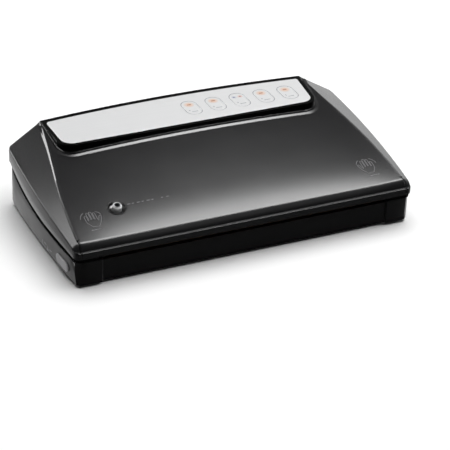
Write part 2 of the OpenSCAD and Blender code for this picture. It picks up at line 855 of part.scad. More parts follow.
module accessory_port() color("#d9dbdd") at_port() difference() {
    union() {
        translate([0, 0, -14]) cylinder(r = port_r, h = 16.7);
        translate([0, 0, -14]) cylinder(r = port_r - 0.8, h = 18);
        translate([0, 0, -5.6]) cylinder(r = 8.4, h = 1.5);
    }
    translate([0, 0, -15]) cylinder(r = port_bore_r, h = 30);
}

module port_collar() color("#111112") at_port() difference() {
    translate([0, 0, -4]) cylinder(r = port_ring_r, h = 4.4);
    translate([0, 0, -2.6]) cylinder(r = port_ring_r - 1.3, h = 10);
    translate([0, 0, -10]) cylinder(r = port_r + 0.1, h = 30);
}

module port_duct() color("#d9dde0") difference() {
    at_port() translate([0, 0, -24]) cylinder(r = port_r + 1.6, h = 17);
    at_port() translate([0, 0, -30]) cylinder(r = port_r + 0.05, h = 40);
    block(-far, 0, -far, 0, 0, liner_z() + liner_t);
}

// ---- Controls in the lid ----

module control_board() color("#1f6b3a")
    block(board_x[0], board_x[1], board_y[0], board_y[1], board_z, board_z + board_t);

module tact_switches() color("#2e2e30") for (i = [0:4]) translate([key_x(i), key_y(i), board_z + board_t]) {
    translate([-switch_w / 2, -switch_w / 2, 0]) cube([switch_w, switch_w, switch_h]);
    cylinder(r = 1.7, h = tact_h);
}

key_stem_z = board_z + board_t + tact_h + key_travel + 0.2;
key_flange_z = bezel_floor_z - 1.2;

module key_body(i) difference() {
    translate([key_x(i), key_y(i), 0]) {
        translate([0, 0, key_flange_z]) linear_extrude(body_h - key_flange_z) stadium(key_w, key_l);
        translate([0, 0, key_flange_z]) linear_extrude(1)
            stadium(key_w + 2 * key_flange, key_l + 2 * key_flange);
        translate([0, 0, key_stem_z]) cylinder(r = stem_r, h = key_flange_z - key_stem_z);
    }
    light_windows(i, 0.05);
}

module light_windows(i, grow) {
    size = i == 2 ? [1.6, 1.4] : [4.6, 1.2];
    for (dx = i == 2 ? [-light_dx, light_dx] : [0])
        translate([key_x(i) + dx, key_y(i) + light_dy, light_floor_z])
            linear_extrude(body_h - light_floor_z + (grow > 0 ? 1 : 0))
                square(size + 2 * [grow, grow], center = true);
}

module seal_key() color("#d4d5d6") key_body(0);
module vacuum_key() color("#d4d5d6") key_body(1);
module food_key() color("#d4d5d6") key_body(2);
module pulse_key() color("#d4d5d6") key_body(3);
module stop_key() color("#d4d5d6") key_body(4);
module seal_light() color("#e2662a") light_windows(0, 0);
module vacuum_light() color("#e2662a") light_windows(1, 0);
module food_lights() color("#3a4a7a") light_windows(2, 0);
module pulse_light() color("#e2662a") light_windows(3, 0);
module stop_light() color("#e2662a") light_windows(4, 0);

base_shell();
base_plate();
rubber_feet();
base_screws();
drip_tray();
lower_gasket();
seal_bar();
heating_strip();
ptfe_tape();
hinge_brackets();
hinge_pins();
pump_housing();
pump_diaphragm();
pump_head();
pump_motor();
pump_rotor();
vacuum_hose();
power_board();
board_parts();
transformer_core();
transformer_coil();
power_inlet();
inlet_pins();
reed_switch();
release_button_left();
latch_slide_left();
release_spring_left();
release_button_right();
latch_slide_right();
release_spring_right();
lid_cover();
side_cap_left();
side_cap_right();
console_bezel();
control_panel();
lid_liner();
upper_gasket();
pressure_strip();
latch_hooks();
hinge_leaves();
accessory_port();
port_collar();
port_duct();
control_board();
tact_switches();
lid_magnet();
lid_screws();
seal_key();
seal_light();
vacuum_key();
vacuum_light();
food_key();
food_lights();
pulse_key();
pulse_light();
stop_key();
stop_light();
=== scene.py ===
import json
import math

import bmesh
import bpy
from mathutils import Matrix, Vector


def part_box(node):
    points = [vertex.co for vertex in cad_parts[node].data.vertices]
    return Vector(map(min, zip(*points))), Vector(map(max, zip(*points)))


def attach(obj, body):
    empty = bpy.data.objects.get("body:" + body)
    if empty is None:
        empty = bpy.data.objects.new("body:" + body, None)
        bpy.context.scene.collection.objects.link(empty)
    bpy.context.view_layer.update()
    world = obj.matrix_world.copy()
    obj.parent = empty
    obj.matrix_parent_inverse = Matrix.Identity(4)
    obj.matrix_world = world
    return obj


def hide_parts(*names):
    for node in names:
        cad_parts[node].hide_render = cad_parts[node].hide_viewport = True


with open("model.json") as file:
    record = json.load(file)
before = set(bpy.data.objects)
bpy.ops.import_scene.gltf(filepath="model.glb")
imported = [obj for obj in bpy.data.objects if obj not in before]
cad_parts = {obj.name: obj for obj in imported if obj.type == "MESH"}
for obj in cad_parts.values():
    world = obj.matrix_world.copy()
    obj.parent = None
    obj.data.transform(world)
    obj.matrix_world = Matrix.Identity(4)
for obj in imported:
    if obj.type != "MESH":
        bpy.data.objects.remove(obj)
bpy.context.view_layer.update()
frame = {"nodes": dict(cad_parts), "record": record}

MM = 0.001
# A wave texture's scale at which one wave is one unit long
WAVE_SCALE = 0.314
NODES = frame["nodes"]
BODY_OF = {n: b for b, names in frame["record"]["behaviour"]["bodies"].items() for n in names}


# ---- materials

def set_range(node, *values):
    for label, value in zip(("From Min", "From Max", "To Min", "To Max"), values):
        node.inputs[label].default_value = value


class Look:
    """A material built of nodes on the object's own coordinates. Its sizes are in millimetres."""

    def __init__(self, name, color, roughness, metallic=0.0, specular=0.5):
        self.name = name
        self.material = bpy.data.materials.new(name)
        self.material.use_nodes = True
        self.tree = self.material.node_tree
        self.shader = self.tree.nodes["Principled BSDF"]
        self.shader.inputs["Base Color"].default_value = (*color, 1.0)
        self.shader.inputs["Roughness"].default_value = roughness
        self.shader.inputs["Metallic"].default_value = metallic
        self.shader.inputs["Specular IOR Level"].default_value = specular
        self.color = color
        self.roughness = roughness
        self.normal = None
        coordinates = self.tree.nodes.new("ShaderNodeTexCoord")
        self.where = coordinates.outputs["Object"]
        self.within = coordinates.outputs["Generated"]

    def node(self, kind, **values):
        made = self.tree.nodes.new(kind)
        for label, value in values.items():
            if hasattr(made, label):
                setattr(made, label, value)
            else:
                made.inputs[label].default_value = value
        return made

    def link(self, output, target):
        self.tree.links.new(output, target)

    def stretched(self, scale):
        mapping = self.node("ShaderNodeMapping")
        mapping.inputs["Scale"].default_value = scale
        self.link(self.where, mapping.inputs["Vector"])
        return mapping.outputs["Vector"]

    def noise(self, size_mm, detail=3.0, stretch=(1, 1, 1)):
        made = self.node("ShaderNodeTexNoise", Detail=detail, Scale=1.0)
        scale = [s / (size_mm * MM) for s in stretch]
        self.link(self.stretched(scale), made.inputs["Vector"])
        return made.outputs["Fac"]

    def waves(self, pitch_mm, axis):
        made = self.node("ShaderNodeTexWave", bands_direction=axis, Scale=1.0)
        self.link(self.stretched([WAVE_SCALE / (pitch_mm * MM)] * 3), made.inputs["Vector"])
        return made.outputs["Fac"]

    def cells(self, size_mm, feature="F1"):
        made = self.node("ShaderNodeTexVoronoi", feature=feature, Scale=1.0)
        self.link(self.stretched([1 / (size_mm * MM)] * 3), made.inputs["Vector"])
        return made.outputs["Distance"]

    def spread(self, value, low, high, dark=0.3, light=0.7):
        made = self.node("ShaderNodeMapRange")
        set_range(made, dark, light, low, high)
        self.link(value, made.inputs["Value"])
        return made.outputs["Result"]

    def mix(self, factor, first, second):
        made = self.node("ShaderNodeMix", data_type="RGBA")
        made.inputs["A"].default_value = (*first, 1.0)
        made.inputs["B"].default_value = (*second, 1.0)
        self.link(factor, made.inputs["Factor"])
        return made.outputs["Result"]

    def vary_color(self, value, amount):
        low = [c * (1 - amount) for c in self.color]
        high = [c * (1 + amount) for c in self.color]
        self.link(self.mix(value, low, high), self.shader.inputs["Base Color"])
        return self

    def vary_roughness(self, value, amount):
        low = max(0.03, self.roughness - amount)
        self.link(self.spread(value, low, self.roughness + amount), self.shader.inputs["Roughness"])
        return self

    def bump(self, value, height_mm):
        made = self.node("ShaderNodeBump", Strength=1.0, Distance=height_mm * MM)
        self.link(value, made.inputs["Height"])
        if self.normal is not None:
            self.link(self.normal, made.inputs["Normal"])
        self.normal = made.outputs["Normal"]
        self.link(self.normal, self.shader.inputs["Normal"])
        return self


def moulded(name, color, roughness, grain_mm=0.5, depth_mm=0.01, specular=0.5, gloss_change=0.03):
    """Moulded plastic: a fine eroded grain, with slow changes of gloss."""
    look = Look(name, color, roughness, specular=specular)
    fine = look.noise(grain_mm, 4)
    slow = look.noise(28, 2)
    look.vary_color(fine, 0.18)
    look.vary_roughness(slow, gloss_change)
    look.bump(fine, depth_mm)
    return look


def brushed(name, color, roughness, along=(0.02, 1, 1), metallic=1.0):
    """Brushed metal, with its scratches along one axis."""
    look = Look(name, color, roughness, metallic=metallic)
    lines = look.noise(0.35, 5, along)
    broad = look.noise(1.2, 3, along)
    look.vary_color(broad, 0.03)
    look.vary_roughness(lines, 0.05)
    look.bump(lines, 0.002)
    return look


def cast_metal(name, color, roughness):
    look = Look(name, color, roughness, metallic=1.0)
    fine = look.noise(0.8, 4)
    look.vary_color(fine, 0.08)
    look.vary_roughness(look.noise(6, 3), 0.06)
    look.bump(fine, 0.006)
    return look


def glow(name, edge_color, middle_color, rough, metallic):
    """Steel lit from below, as a painted glow: a soft round patch of the light's colour that fades out
    at the piece's edge.
    """
    look = brushed(name, edge_color, rough, metallic=metallic)
    centred = look.node("ShaderNodeMapping")
    centred.inputs["Location"].default_value = (-1, -1, 0)
    centred.inputs["Scale"].default_value = (2, 2, 0)
    look.link(look.within, centred.inputs["Vector"])
    ball = look.node("ShaderNodeTexGradient", gradient_type="SPHERICAL")
    look.link(centred.outputs["Vector"], ball.inputs["Vector"])
    share = look.spread(ball.outputs["Fac"], 0.0, 1.0, 0.05, 0.75)
    # painted glow: the light's colour mixed into the steel's base colour, strongest at the middle
    look.link(look.mix(share, edge_color, middle_color), look.shader.inputs["Base Color"])
    return look


def foam(name, color):
    look = Look(name, color, 0.9, specular=0.2)
    cells = look.cells(0.6)
    look.vary_color(cells, 0.35)
    look.bump(cells, 0.12)
    return look


def woven(name, color, pitch_mm):
    """Glass cloth with a non-stick coat: two sets of threads, over and under."""
    look = Look(name, color, 0.45, specular=0.4)
    threads = [look.waves(pitch_mm, axis) for axis in "XY"]
    both = look.node("ShaderNodeMath", operation="MULTIPLY")
    for thread, target in zip(threads, both.inputs):
        look.link(thread, target)
    look.vary_color(both.outputs["Value"], 0.25)
    look.bump(both.outputs["Value"], 0.06)
    return look


def wound(name, color, pitch_mm):
    """Enamelled wire, wound in close turns."""
    look = Look(name, color, 0.3, metallic=0.9)
    turns = look.waves(pitch_mm, "Y")
    look.vary_color(turns, 0.3)
    look.bump(turns, 0.15)
    return look


def circuit(name):
    """Solder mask over copper: paler tracks on green."""
    look = Look(name, (0.012, 0.09, 0.035), 0.35)
    tracks = look.spread(look.cells(7, "DISTANCE_TO_EDGE"), 1.0, 0.0, 0.03, 0.06)
    look.link(look.mix(tracks, look.color, (0.04, 0.19, 0.08)), look.shader.inputs["Base Color"])
    look.bump(tracks, 0.03)
    return look


def wear(made, look):
    made.data.materials.clear()
    made.data.materials.append(look.material)


def by_name(*looks):
    return {look.name: look for look in looks}


STEEL = (0.82, 0.824, 0.828)
STEEL_ROUGH = 0.34
STEEL_METAL = 0.5
LOOKS = by_name(
    moulded("lid_black", (0.010, 0.010, 0.0105), 0.24, 0.45, 0.004, 0.3, 0.008),
    moulded("cap_black", (0.010, 0.010, 0.0105), 0.26, 0.45, 0.004, 0.45, 0.008),
    moulded("base_black", (0.0065, 0.0065, 0.007), 0.32, 0.5, 0.006, 0.3),
    moulded("bezel_black", (0.001, 0.001, 0.001), 0.1, 3.0, 0.002, 0.12, 0.005),
    moulded("inner_plastic", (0.022, 0.023, 0.025), 0.48, 0.6, 0.02),
    brushed("panel_steel", STEEL, STEEL_ROUGH, metallic=STEEL_METAL),
    brushed("key_steel", STEEL, STEEL_ROUGH, metallic=STEEL_METAL),
    moulded("light_orange", (0.22, 0.035, 0.012), 0.35, 0.4, 0.01),
    moulded("light_pair", (0.03, 0.03, 0.10), 0.35, 0.4, 0.01),
    foam("gasket_foam", (0.055, 0.057, 0.062)),
    moulded("strip_silicone", (0.10, 0.035, 0.028), 0.55, 0.8, 0.02),
    moulded("feet_rubber", (0.018, 0.018, 0.018), 0.8, 0.6, 0.04, specular=0.3),
    moulded("seal_carrier", (0.55, 0.51, 0.44), 0.5, 0.8, 0.02),
    brushed("nichrome", (0.42, 0.41, 0.40), 0.3),
    woven("ptfe", (0.17, 0.11, 0.055), 0.7),
    brushed("bright_metal", (0.66, 0.665, 0.67), 0.45, (1, 1, 0.05), 0.2),
    cast_metal("zinc_steel", (0.42, 0.43, 0.45), 0.38),
    moulded("white_nylon", (0.72, 0.70, 0.64), 0.45, 0.8, 0.02),
    moulded("clear_tube", (0.62, 0.66, 0.68), 0.25, 2.0, 0.01),
    brushed("motor_steel", (0.50, 0.51, 0.53), 0.32, (1, 0.05, 0.05)),
    wound("copper", (0.62, 0.25, 0.09), 0.5),
    brushed("core_iron", (0.16, 0.16, 0.17), 0.5, (1, 1, 0.03)),
    circuit("board_green"),
    moulded("parts_dark", (0.02, 0.022, 0.05), 0.4, 0.5, 0.01),
    moulded("button_grey", (0.40, 0.40, 0.41), 0.5, 0.6, 0.03),
    moulded("collar_black", (0.004, 0.004, 0.004), 0.2, 1.0, 0.004),
    cast_metal("magnet_grey", (0.35, 0.36, 0.38), 0.3),
)
# Printed marks, the painted glow of the key lights and a near-black for painted shade, which are no
# part's own finish
MARKS = by_name(
    glow("orange_glow", STEEL, (0.84, 0.58, 0.43), STEEL_ROUGH, STEEL_METAL),
    glow("red_glow", STEEL, (0.80, 0.50, 0.42), STEEL_ROUGH, STEEL_METAL),
    glow("blue_glow", STEEL, (0.50, 0.53, 0.64), STEEL_ROUGH, STEEL_METAL),
    moulded("lid_print", (0.16, 0.16, 0.165), 0.6, 0.3, 0.003, 0.2),
    moulded("panel_print", (0.17, 0.18, 0.21), 0.5, 0.3, 0.003, 0.3),
    # painted shade: near-black with almost no gloss, for strips put where the joints between lid and
    # base lie in shade
    moulded("shadow_black", (0.0015, 0.0015, 0.0015), 0.9, 0.3, 0.002, 0.02),
    moulded("base_print", (0.50, 0.50, 0.51), 0.6, 0.3, 0.003, 0.2),
)


SLOTS = {row["node"]: row["material_slot"] for row in frame["record"]["subparts"]}
for node_name, node_object in NODES.items():
    wear(node_object, LOOKS[SLOTS[node_name]])


# ---- mesh tools, in millimetres

JOIN, SLIVER, CAD_JOIN = 0.002, 0.001, 0.003
FLAT_ANGLE, SOFT_ANGLE = 0.4, 32.0
END_NAMES = {-1: "left", 1: "right"}


def box_mm(node):
    """The low and high corners of a CAD node's box."""
    low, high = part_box(node)
    return low / MM, high / MM


def spaced(first, last, steps):
    """Evenly spaced values, both ends included."""
    return [first + (last - first) * i / steps for i in range(steps + 1)]


def smooth_share(value, first, last):
    """0 up to first and 1 from last on, with a smooth rise between them."""
    t = min(1, max(0, (value - first) / (last - first)))
    return t * t * (3 - 2 * t)


def joined(solids):
    """Verts and faces of several solids as one."""
    verts, faces = [], []
    for more_verts, more_faces in solids:
        faces += [tuple(i + len(verts) for i in face) for face in more_faces]
        verts += more_verts
    return verts, faces


def shape_of(verts, faces):
    shape = bmesh.new()
    made = [shape.verts.new(Vector(v) * MM) for v in verts]
    for face in faces:
        shape.faces.new([made[i] for i in face])
    return shape


def linked(name, data):
    made = bpy.data.objects.new(name, data)
    bpy.context.scene.collection.objects.link(made)
    return made


def object_of(shape, name):
    """A new object in the scene, made from a shape that is then freed."""
    data = bpy.data.meshes.new(name)
    shape.to_mesh(data)
    shape.free()
    return linked(name, data)


def piece(name, verts, faces, body, slot, *nodes, sharp=35.0):
    """A mesh that rides on a body, takes a slot's look and stands for CAD nodes."""
    shape = shape_of(verts, faces)
    bmesh.ops.remove_doubles(shape, verts=shape.verts, dist=JOIN * MM)
    bmesh.ops.dissolve_degenerate(shape, edges=shape.edges, dist=SLIVER * MM)
    bmesh.ops.recalc_face_normals(shape, faces=shape.faces)
    made = object_of(shape, name)
    settle(made, body, slot, *nodes, sharp=sharp)
    return made


def settle(made, body, slot, *nodes, sharp=35.0, even=False):
    look = LOOKS[slot] if slot in LOOKS else MARKS[slot]
    wear(made, look)
    made.data.shade_smooth()
    made.data.set_sharp_from_angle(angle=math.radians(sharp))
    if even:
        weighted = made.modifiers.new("even", "WEIGHTED_NORMAL")
        weighted.keep_sharp = True
        bake_modifiers(made)
    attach(made, body)
    if nodes:
        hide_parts(*nodes)


def closed_loft(sections, ends=True):
    """Verts and faces of a solid through closed sections that have the same number of points."""
    count = len(sections[0])
    verts = [point for section in sections for point in section]
    faces = []
    for i in range(len(sections) - 1):
        for j in range(count):
            k = (j + 1) % count
            faces.append((i * count + j, i * count + k, (i + 1) * count + k, (i + 1) * count + j))
    if ends:
        last = (len(sections) - 1) * count
        faces.append(tuple(range(count)))
        faces.append(tuple(last + j for j in range(count)))
    return verts, faces


def looped_loft(sections):
    """As closed_loft, with the last section joined to the first."""
    count = len(sections[0])
    verts, faces = closed_loft(sections, ends=False)
    last = (len(sections) - 1) * count
    for j in range(count):
        k = (j + 1) % count
        faces.append((last + j, last + k, k, j))
    return verts, faces


def swept(path, section, closed=True, ups=None):
    """A section of (sideways, up) points along a path of 3-D points."""
    path = [Vector(p) for p in path]
    count = len(path)
    sections = []
    for i, here in enumerate(path):
        before = path[i - 1] if closed or i > 0 else here
        after = path[(i + 1) % count] if closed or i < count - 1 else here
        ahead = (after - before).normalized()
        up = Vector(ups[i]) if ups else Vector((0, 0, 1))
        side = ahead.cross(up).normalized()
        up = side.cross(ahead)
        sections.append([here + side * a + up * b for a, b in section])
    return looped_loft(sections) if closed else closed_loft(sections)


def lathe(profile, turns=64):
    """A closed (radius, height) profile turned about Z."""
    sections = []
    for i in range(turns):
        a = 2 * math.pi * i / turns
        sections.append([Vector((r * math.cos(a), r * math.sin(a), z)) for r, z in profile])
    return looped_loft(sections)


def arc(cx, cy, r, a0, a1, steps):
    """Points on an arc, angles in degrees."""
    angles = [math.radians(a) for a in spaced(a0, a1, steps)]
    return [(cx + r * math.cos(a), cy + r * math.sin(a)) for a in angles]


def rounded(corners, steps=6):
    """A closed outline through (x, y, radius) corners, with each corner filleted."""
    outline = []
    count = len(corners)
    for i, (x, y, r) in enumerate(corners):
        here = Vector((x, y))
        if r == 0:
            outline.append(here)
            continue
        before = (Vector(corners[i - 1][:2]) - here).normalized()
        after = (Vector(corners[(i + 1) % count][:2]) - here).normalized()
        half = before.angle(after) / 2
        reach = r / math.tan(half)
        middle = here + (before + after).normalized() * (r / math.sin(half))
        first = here + before * reach - middle
        last = here + after * reach - middle
        swing = first.angle_signed(last)
        for k in range(steps + 1):
            outline.append(middle + Matrix.Rotation(-swing * k / steps, 2) @ first)
    return outline


def inset(outline, amount):
    """The outline moved inwards. The outline runs anticlockwise."""
    moved = []
    count = len(outline)
    for i, here in enumerate(outline):
        before = (here - outline[i - 1]).normalized()
        after = (outline[(i + 1) % count] - here).normalized()
        normal = Vector((-before.y - after.y, before.x + after.x)).normalized()
        moved.append(here + normal * amount / max(0.3, normal.dot(Vector((-before.y, before.x)))))
    return moved


def round_rect(half_x, y0, y1, r, steps=8):
    return rounded([(-half_x, y0, r), (half_x, y0, r), (half_x, y1, r), (-half_x, y1, r)], steps)


def stadium(width, length):
    r = width / 2
    reach = length / 2 - r
    outline = arc(0, reach, r, 0, 180, 16) + arc(0, -reach, r, 180, 360, 16)
    return [Vector(p) for p in outline]


def prism(outline, levels):
    """A solid from (height, inset) levels of one outline. A height may be a function of x and y."""
    sections = []
    for height, amount in levels:
        ring = inset(outline, amount) if amount else outline
        sections.append([(p.x, p.y, height(p.x, p.y) if callable(height) else height) for p in ring])
    return closed_loft(sections)


def tool(verts, faces):
    """A solid that only cuts others."""
    shape = shape_of(verts, faces)
    bmesh.ops.recalc_face_normals(shape, faces=shape.faces)
    return object_of(shape, "tool")


def bake_modifiers(made):
    bpy.context.view_layer.update()
    graph = bpy.context.evaluated_depsgraph_get()
    baked = bpy.data.meshes.new_from_object(made.evaluated_get(graph))
    made.modifiers.clear()
    made.data = baked


def cut(made, cutter, operation="DIFFERENCE"):
    change = made.modifiers.new("cut", "BOOLEAN")
    change.operation = operation
    change.solver = "EXACT"
    change.object = cutter
    bake_modifiers(made)
    bpy.data.objects.remove(cutter)


def copied(node, name):
    """A new piece with a copy of a CAD node's mesh, its points joined."""
    shape = bmesh.new()
    shape.from_mesh(NODES[node].data)
    bmesh.ops.remove_doubles(shape, verts=shape.verts, dist=CAD_JOIN * MM)
    return object_of(shape, name)


def soften(made, width, segments):
    """Rounds a piece's sharp edges."""
    flat = made.modifiers.new("flat", "DECIMATE")
    flat.decimate_type = "DISSOLVE"
    flat.angle_limit = math.radians(FLAT_ANGLE)
    edge = made.modifiers.new("edge", "BEVEL")
    edge.width = width * MM
    edge.segments = segments
    edge.limit_method = "ANGLE"
    edge.angle_limit = math.radians(SOFT_ANGLE)
    edge.harden_normals = False
    edge.use_clamp_overlap = True
    bake_modifiers(made)


def soft_copy(node, width, segments=3):
    """The CAD node with its edges rounded, in the node's own look."""
    made = copied(node, node + "_finished")
    soften(made, width, segments)
    settle(made, BODY_OF[node], SLOTS[node], node, even=True)
    return made


# ---- the form that the mouldings share

FRONT, REAR = (corner.y for corner in box_mm("lid_cover"))
HALF_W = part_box("side_cap_right")[1].x / MM
WALL = 2.5
SEAM_Z, LID_GAP, SEAM_FLAT_Y, SEAM_R = 30.0, 4.0, -35.0, 450.0
LIP_Z, LIP_STEP, ROLL_R = 41.3, 2.7, 10.0
LIP_TOP, LIP_SLOPE, LIP_EDGE_R = LIP_Z + 0.35, 0.18, 0.9
LID_DEPTH, LID_CURVE = 199, (47, 46.3, 1.1, 4.9)
NOSE_Y, NOSE_SLOPE = -45.0, 0.13
END_R, END_MID_Y, REAR_R = 1460.0, 3.0, 1400.0
FALL, FACET_R, FACET_MID_Y, FACET_TOP = 0.62, 1470.0, 140.0, 158.0
LID_REAR_Z = 51.5
CROWN = 5.5
EDGE_R = 1.7
CREASE_GAP = 0.1
CREASE_SHIFT, CREASE_LEAN = 3.0, 0.055
BEZEL_W = 4.4
CONSOLE_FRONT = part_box("console_bezel")[0].y / MM
PANEL_FRONT, PANEL_REAR = (corner.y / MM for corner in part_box("control_panel"))
PANEL_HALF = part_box("console_bezel")[1].x / MM - BEZEL_W
PANEL_CORNER_R = 12.5
END_SLANT = (1.0, 8.5)


def seam_at(y):
    if y < SEAM_FLAT_Y:
        return SEAM_Z
    return SEAM_Z + SEAM_R - math.sqrt(SEAM_R ** 2 - (y - SEAM_FLAT_Y) ** 2)


def end_share(y):
    """0 at the front corners, rising smoothly to 1 along the ends."""
    return smooth_share(y, -101, -76)


def skirt_at(y):
    """Height of the lid's lower edge."""
    return min(seam_at(y) + LID_GAP + 0.2 + 0.9 * end_share(y), LID_REAR_Z)


def lid_at(y):
    """Height of the lid along its creases."""
    t = (y - FRONT) / LID_DEPTH
    height, rise, bend, droop = LID_CURVE
    return height + rise * t - bend * t * t - droop * t ** 3


def facet_at(y):
    """Height that the plane of the sloping ends would reach above the middle of the lid."""
    drop = FACET_TOP - FACET_R + math.sqrt(FACET_R ** 2 - (y - FACET_MID_Y) ** 2)
    return drop / math.cos(math.atan(FALL))


def rear_share(y):
    """0 over the front of the lid, rising smoothly to 1 towards its rear."""
    return smooth_share(y, -40, 60)


def crease_at(y):
    """Half width between the creases, where the cover meets the sloping ends."""
    return (facet_at(y) - lid_at(y)) / FALL - CREASE_SHIFT * rear_share(y)


def bow_at(y):
    """Half width of the bowed plan."""
    return HALF_W - END_R + math.sqrt(END_R ** 2 - (y - END_MID_Y) ** 2)


def rear_at(x):
    return REAR - REAR_R + math.sqrt(REAR_R ** 2 - x * x)


def nose_at(y):
    """How far the middle of the lid dips towards its front edge."""
    reach = NOSE_Y - FRONT
    share = min(1, max(0, (NOSE_Y - y) / reach))
    return NOSE_SLOPE * reach / 3 * share ** 3


def crown_at(x, y):
    """How far the lid's middle stands above its creases."""
    u = x / crease_at(y)
    t = min(1, max(0, (y - FRONT - 4) / (CONSOLE_FRONT - FRONT)))
    return CROWN * t * max(0, 1 - u * u) - nose_at(y) * max(0, 1 - abs(u) ** 7)


def surface_at(x, y):
    return lid_at(y) + crown_at(x, y)


def lid_normal(x, y):
    across = (surface_at(x + 0.5, y) - surface_at(x - 0.5, y))
    along = (surface_at(x, y + 0.5) - surface_at(x, y - 0.5))
    return Vector((-across, -along, 1)).normalized()


def console_outline(outset):
    """The panel's ends and front edge, grown by outset, from the rear left round to the rear right."""
    r = PANEL_CORNER_R + outset
    sides = []
    for side, slant in zip((-1, 1), END_SLANT):
        lean = math.atan(slant / (PANEL_REAR - PANEL_FRONT))
        x = side * (PANEL_HALF - slant - PANEL_CORNER_R * (1 - math.tan(lean)))
        y = PANEL_FRONT + PANEL_CORNER_R
        turn = [math.radians(a) for a in spaced(math.degrees(lean), 90, 12)]
        curve = [(x + side * r * math.cos(a), y - r * math.sin(a)) for a in turn]
        reach = [(curve[0][0] + side * math.sin(lean) * d, curve[0][1] + math.cos(lean) * d)
                 for d in range(110, 0, -5)]
        sides.append(reach + curve)
    left, right = sides
    front = [(x, left[-1][1]) for x in spaced(left[-1][0], right[-1][0], 48)[1:-1]]
    return left + front + right[::-1]


def corner_pull(distance, radius):
    """How far a rounded corner or edge draws in at a distance from its end."""
    if distance >= radius:
        return 0.0
    return radius - math.sqrt(radius ** 2 - (radius - max(0, distance)) ** 2)


def roll_drop(y):
    return corner_pull(y - FRONT - LIP_STEP, ROLL_R)


# ---- lid

# Slope of the lid just behind its rolled front, and the middle of that roll
FRONT_SLOPE = math.atan(lid_at(-95) - lid_at(-96))
ROLL_Y = FRONT + LIP_STEP + ROLL_R
ROLL_Z = lid_at(ROLL_Y) - ROLL_R / math.cos(FRONT_SLOPE)
ROLL_END = 90 + math.degrees(FRONT_SLOPE)
CAP_FRONT_R, CAP_REAR_R = 6.5, 6.0


def slope_rows(first, last):
    """Places from the roll to the rear, densest near the roll."""
    return [first + (last - first) * (i / 48) ** 1.3 for i in range(1, 49)]


def cover_outer(rear):
    """Outer path of the cover, front to rear: (y, z, way in, share of the crown) at each point."""
    inwards = (1, 0)
    skirt = SEAM_Z + LID_GAP
    first = 180 - math.degrees(math.asin((LIP_TOP - ROLL_Z) / ROLL_R))
    front = [(FRONT + 0.5, skirt), (FRONT + 0.12, skirt + 0.15), (FRONT, skirt + 0.6)]
    front += [(FRONT, 36.4), (FRONT, 38.8)]
    front += arc(FRONT + LIP_EDGE_R, LIP_Z - 0.89, LIP_EDGE_R, 180, 100, 7)
    path = [(y, z, inwards, 0) for y, z in front]
    for i, angle in enumerate(spaced(first, ROLL_END, 12)):
        a = math.radians(angle)
        way = (-math.cos(a), -math.sin(a))
        crown = smooth_share(i, 0, 9)
        path.append((ROLL_Y - ROLL_R * way[0], ROLL_Z - ROLL_R * way[1], way, crown))
    down = (math.sin(FRONT_SLOPE), -math.cos(FRONT_SLOPE))
    path += [(y, lid_at(y), down, 1) for y in slope_rows(path[-1][0], rear - EDGE_R)]
    top = lid_at(rear - EDGE_R)
    path += [(y, z, (0, -1), 1) for y, z in arc(rear - EDGE_R, top - EDGE_R, EDGE_R, 72, 18, 3)]
    path += [(rear, z, (-1, 0), max(0, (z - 62) / (top - 62))) for z in (top - EDGE_R, 76, 70, 62)]
    path += [(rear, LID_REAR_Z + 0.6, (-1, 0), 0), (rear - 0.5, LID_REAR_Z, (-1, 0), 0)]
    return path


def cover_inner(rear):
    """Inner path of the cover, front to rear: (y, z, share of the crown) at each point."""
    path = [(FRONT + WALL, SEAM_Z + LID_GAP, 0), (FRONT + WALL, ROLL_Z - 2, 0)]
    path += [(y, z, 1) for y, z in arc(ROLL_Y, ROLL_Z, ROLL_R - WALL, 180, ROLL_END, 6)]
    path += [(y, lid_at(y) - WALL / math.cos(FRONT_SLOPE), 1)
             for y in slope_rows(path[-1][0], rear - WALL - 1)]
    path += [(rear - WALL, 76, 0.6), (rear - WALL, 62, 0), (rear - WALL, LID_REAR_Z, 0)]
    return path


def cover_shares():
    """Places across the cover, from one crease to the other, dense where its edges roll over."""
    edge = [1 - EDGE_R * (1 - math.cos(math.radians(a))) / 170 for a in (0, 18, 36, 54, 72, 90)]
    return [-u for u in edge] + spaced(-0.985, 0.985, 28) + edge[::-1]


def lip_at(y):
    """The lip's top face, which slopes down to a rounded front edge."""
    return LIP_TOP - LIP_SLOPE * (LIP_STEP - (y - FRONT)) - corner_pull(y - FRONT, LIP_EDGE_R)


def make_cover():
    """The top of the lid, with the console's opening, the port's hole and the hinge notches."""
    sections = []
    for u in cover_shares():
        rear = rear_at(u * crease_at(REAR - 8))
        outer, inner = [], []
        for y, z, way, lift in cover_outer(rear):
            half = crease_at(min(y, REAR - 6)) - CREASE_GAP
            x = u * half
            drop = corner_pull(half - abs(x), EDGE_R)
            z += lift * crown_at(x, y)
            outer.append((x, y + way[0] * drop, z + way[1] * drop))
        for y, z, lift in cover_inner(rear):
            x = u * (crease_at(min(y, REAR - 6)) - CREASE_GAP)
            inner.append((x, y, z + lift * crown_at(x, y)))
        sections.append(outer + inner[::-1])
    cover = piece("cover", *closed_loft(sections), "lid", "lid_black", "lid_cover")
    opening = [Vector(p) for p in console_outline(BEZEL_W + 1.3)]
    cut(cover, tool(*prism(opening, [(72, 0), (110, 0)])))
    hole = arc(0, 0, PORT_RING_R + 0.1, 0, 360, 64)[:-1]
    cut(cover, at_port(tool(*closed_loft([[(x, y, z) for x, y in hole] for z in (-10, 14)]))))
    for side in (-1, 1):
        notch = [p + Vector((side * 75, 108)) for p in round_rect(14, -12, 12, 1.5)]
        cut(cover, tool(*prism(notch, [(40, 0), (55, 0)])))
    settle(cover, "lid", "lid_black", "lid_cover")


PORT_X, PORT_Y, PORT_SLOPE = -128.2, -58.8, 13.0
PORT_RING_R = 9.7


